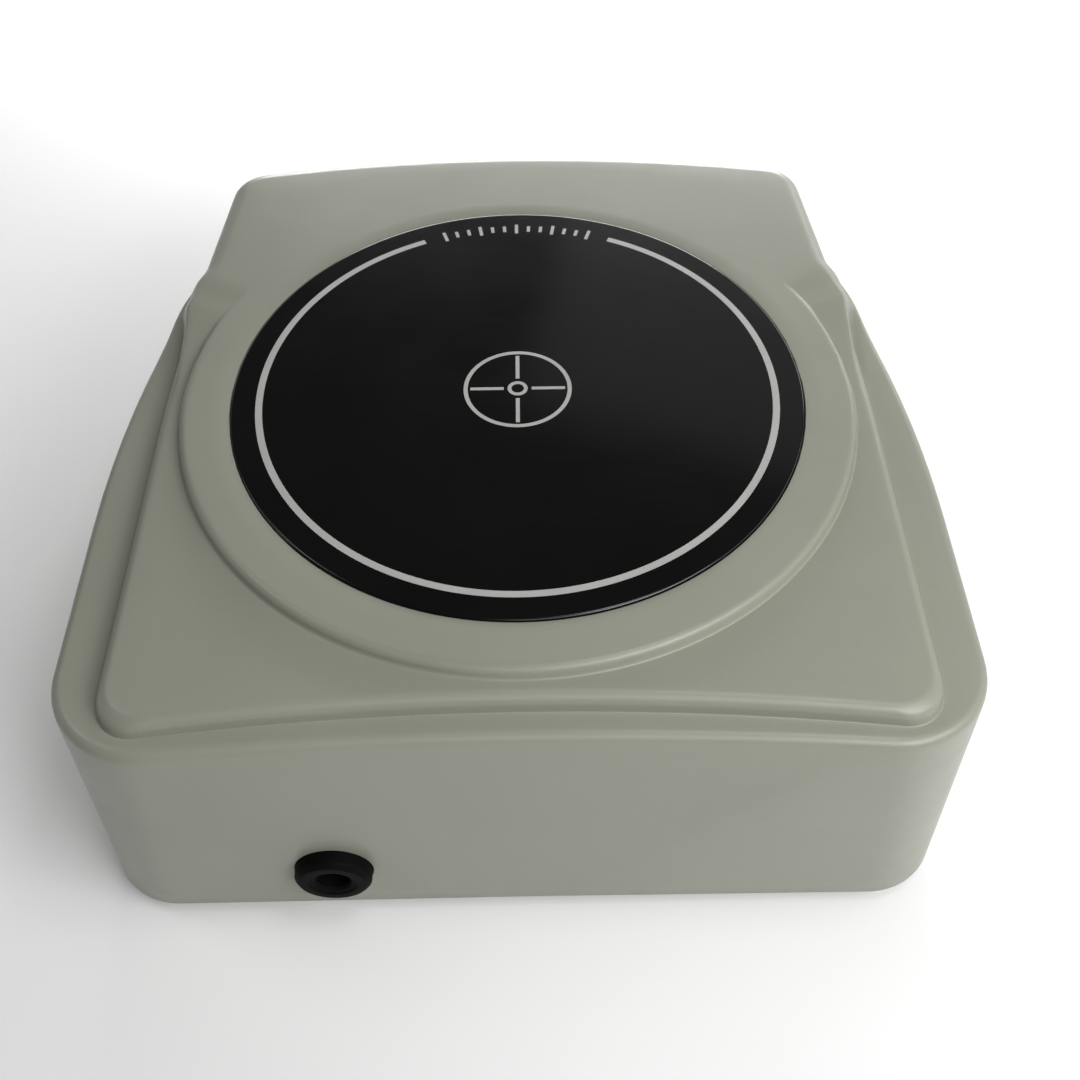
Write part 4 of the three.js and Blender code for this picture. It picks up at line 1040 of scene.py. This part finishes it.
def build_panel_print():
    """The dial's ticks and numbers, and a short bar above and below the lamp."""
    low, high = LABEL_HIGH.y - 0.03, LABEL_HIGH.y
    shapes = []
    for step in range(2 * DIAL_STEPS + 1):
        degrees = mix(-DIAL_SWEEP_DEG, DIAL_SWEEP_DEG, step / (2 * DIAL_STEPS))
        major = step % 2 == 0
        shapes.append(panel_bar(13.7, 15.1 if major else 14.6, 0.45 if major else 0.3, degrees, low, high))
        if major:
            spot = panel_direction(degrees) * 16.7 + Vector((0, 0, PANEL_Z))
            shapes.append(numeral(str(step // 2), 2.5, spot, low, high))
    for side in (1, -1):
        shapes.append(box_shape(
            (LED_X - 1.5, low, PANEL_Z + side * 5 - 0.2), (LED_X + 1.5, high, PANEL_Z + side * 5 + 0.2),
        ))
    item = mesh_object("panel_print", merged(*shapes))
    finish_piece(item, PALE_INK)


def fluted(grip_radius):
    """The knob's radius at an angle: scallops run down the grip, and fade out above the skirt."""
    reach = grip_radius + FLUTE_RADIUS - FLUTE_DEPTH

    def radius_at(radius, height, angle):
        pitch = 2 * math.pi / KNOB_FLUTES
        off = (angle + pitch / 2) % pitch - pitch / 2
        inside = FLUTE_RADIUS ** 2 - (reach * math.sin(off)) ** 2
        if inside <= 0 or radius < grip_radius - 2.5:
            return radius
        cut = reach * math.cos(off) - math.sqrt(inside)
        depth = max(0, grip_radius - cut) * smooth_share(height, 3.0, 4.2)
        return radius - min(depth, max(0, radius - cut))

    return radius_at


def build_knob():
    back, front = KNOB_LOW.y, KNOB_HIGH.y - 0.05
    length = front - back
    grip = KNOB_RADIUS - 2.2
    skirt_bore, skirt_depth = 8, 3.8
    profile = [
        (0, skirt_depth, 0), (skirt_bore, skirt_depth, 0), (skirt_bore, 0, 0.15), (KNOB_RADIUS, 0, 0.2),
        (KNOB_RADIUS, 1.5, 0.6), (grip + 0.6, 3.0, 0.8), (grip, length, 1.0), (grip - 2.2, length, 0),
        (grip - 2.6, length - 0.25, 0.2), (0, length - 0.25, 0),
    ]
    solid = moved(turned(profile, 360, fluted(grip)), (0, back, PANEL_Z), along_y=True)
    item = mesh_object("fluted_knob", solid)
    shaft_low, shaft_high = cad("pot_shaft")
    bore = cylinder_y((shaft_high.x - shaft_low.x) / 2 + 0.1, back - 1, shaft_high.y + 0.2, 0, PANEL_Z)
    boolean(item, bore, "DIFFERENCE")
    boolean(item, pointer_bar(0.12, front - 1.1, front + 1), "DIFFERENCE")
    finish_piece(item, BLACK_PLASTIC, "knob", ["speed_knob"], smooth_degrees=30)
    pointer = mesh_object("pointer_inlay", pointer_bar(0, front - 1, front - 0.12))
    finish_piece(soften(pointer, 0.12), PALE_INK, "knob", ["knob_pointer"])


def pointer_bar(clearance, low, high):
    """The bar in the knob's face at the off position."""
    return panel_bar(2.7 - clearance, 9.3 + clearance, 1.4 + 2 * clearance, -DIAL_SWEEP_DEG, low, high)


def build_lamp():
    low, high = cad("led")
    lens = moved(turned([
        (0, low.y, 0), (1.9, low.y, 0.1), (1.9, low.y + 1, 0.1), (1.5, low.y + 1, 0), (1.5, high.y, 1.4),
        (0, high.y, 0),
    ], 64), (LED_X, 0, PANEL_Z), along_y=True)
    finish_piece(mesh_object("lamp_lens", lens), RED_LENS, replaces=["led"])
    bezel_low, bezel_high = cad("led_bezel")
    collar = PANEL_FACE_Y + 0.1
    bezel = moved(hollow_turned([
        (1.65, bezel_low.y, 0), (2.3, bezel_low.y, 0), (2.3, collar, 0), (3, collar, 0.1),
        (3, bezel_high.y, 0.5), (1.65, bezel_high.y, 0.25),
    ], 72), (LED_X, 0, PANEL_Z), along_y=True)
    finish_piece(mesh_object("lamp_bezel", bezel), NICKEL, replaces=["led_bezel"])


# ------------------------------------------------------------------ carried-over CAD nodes


def finish_cad_nodes():
    """Every CAD node that still shows gets the material of its slot in the record."""
    for subpart in frame["record"]["subparts"]:
        data = frame["nodes"][subpart["node"]].data
        data.materials.clear()
        data.materials.append(SLOT_MATERIALS[subpart["material_slot"]])
        data.shade_smooth()
        data.set_sharp_from_angle(angle=math.radians(30))


# ------------------------------------------------------------------ stage, light and camera

CAMERA_OFFSET = Vector((2.2, -178.2, 171.9))
CAMERA_LENS = 42.44
CAMERA_ELEVATION = 50.78
CAMERA_AZIMUTH = -0.61
CAMERA_ROLL = -0.42


def build_stage():
    material = Finish("pale_floor")
    cloud = material.noise(60, detail=2)
    material.colour(material.mixed(cloud, (0.93, 0.93, 0.93), (0.95, 0.95, 0.95)))
    material.shader.inputs["Roughness"].default_value = 0.9
    material.shader.inputs["Specular IOR Level"].default_value = 0.1
    floor = mesh_object("floor", moved(turned([(0, -20, 0), (4000, -20, 0), (4000, 0, 0), (0, 0, 0)], 96)))
    floor.data.materials.append(material.material)


def direction(azimuth, elevation):
    """A direction by its azimuth, from the rear round towards +X, and its elevation, both in degrees."""
    around, up = math.radians(azimuth), math.radians(elevation)
    return Vector((math.sin(around) * math.cos(up), -math.cos(around) * math.cos(up), math.sin(up)))


def area_light(name, angles, distance, size, power, height=0.04):
    """A soft light of some width and height, which faces a point above the middle of the footprint."""
    light = bpy.data.lights.new(name, "AREA")
    light.shape = "RECTANGLE"
    light.size, light.size_y = size
    light.energy = power
    item = bpy.data.objects.new(name, light)
    away = direction(*angles)
    item.location = Vector((0, 0, height)) + away * distance
    item.rotation_euler = away.to_track_quat("Z", "Y").to_euler()
    bpy.context.scene.collection.objects.link(item)


def build_light():
    """Soft lights all round, strongest at the front and at the right of the rear, in a dim room."""
    world = bpy.data.worlds.new("studio")
    bpy.context.scene.world = world
    world.use_nodes = True
    background = world.node_tree.nodes["Background"]
    background.inputs["Color"].default_value = (1, 1, 1, 1)
    background.inputs["Strength"].default_value = 0.07
    area_light("front", (178, 10), 0.38, (0.3, 0.12), 1.2, 0.05)
    area_light("front_right", (150, 10), 0.42, (0.4, 0.12), 0.5, 0.05)
    area_light("front_left", (205, 10), 0.42, (0.4, 0.12), 0.12, 0.05)
    area_light("right", (90, 14), 0.42, (0.4, 0.2), 0.25, 0.07)
    area_light("rear_right", (45, 34), 0.42, (0.3, 0.2), 0.98, 0.07)
    area_light("rear", (25, 34), 0.42, (0.4, 0.2), 0.57, 0.07)
    area_light("left", (270, 10), 0.42, (0.2, 0.12), 0.07, 0.05)
    area_light("overhead", (60, 72), 0.45, (0.12, 0.12), 0.32)
    area_light("upper_left", (265, 50), 0.45, (0.12, 0.12), 0.15)
    area_light("ceiling", (158, 38), 0.8, (0.45, 0.3), 0.1)
    bpy.context.scene.view_settings.view_transform = "Standard"


def build_camera():
    back = direction(CAMERA_AZIMUTH, CAMERA_ELEVATION)
    right = Vector((0, 0, 1)).cross(back).normalized()
    up = back.cross(right)
    roll = math.radians(CAMERA_ROLL)
    rolled_right = right * math.cos(roll) + up * math.sin(roll)
    rolled_up = up * math.cos(roll) - right * math.sin(roll)
    data = bpy.data.cameras.new("camera")
    data.sensor_width = 36
    data.lens = CAMERA_LENS
    data.clip_start = 0.01
    camera = bpy.data.objects.new("camera", data)
    turn = Matrix((rolled_right, rolled_up, back)).transposed().to_4x4()
    camera.matrix_world = Matrix.Translation(place(CAMERA_OFFSET + Vector((0, 0, PLATE_TOP_Z)))) @ turn
    bpy.context.scene.collection.objects.link(camera)
    bpy.context.scene.camera = camera


# ------------------------------------------------------------------ the whole scene

finish_cad_nodes()
build_housing()
build_base()
for number in range(1, 5):
    build_foot(number)
    build_base_screw(number)
build_work_plate()
build_plate_print()
build_jack()
build_panel_label()
build_panel_print()
build_knob()
build_lamp()
build_stage()
build_light()
build_camera()
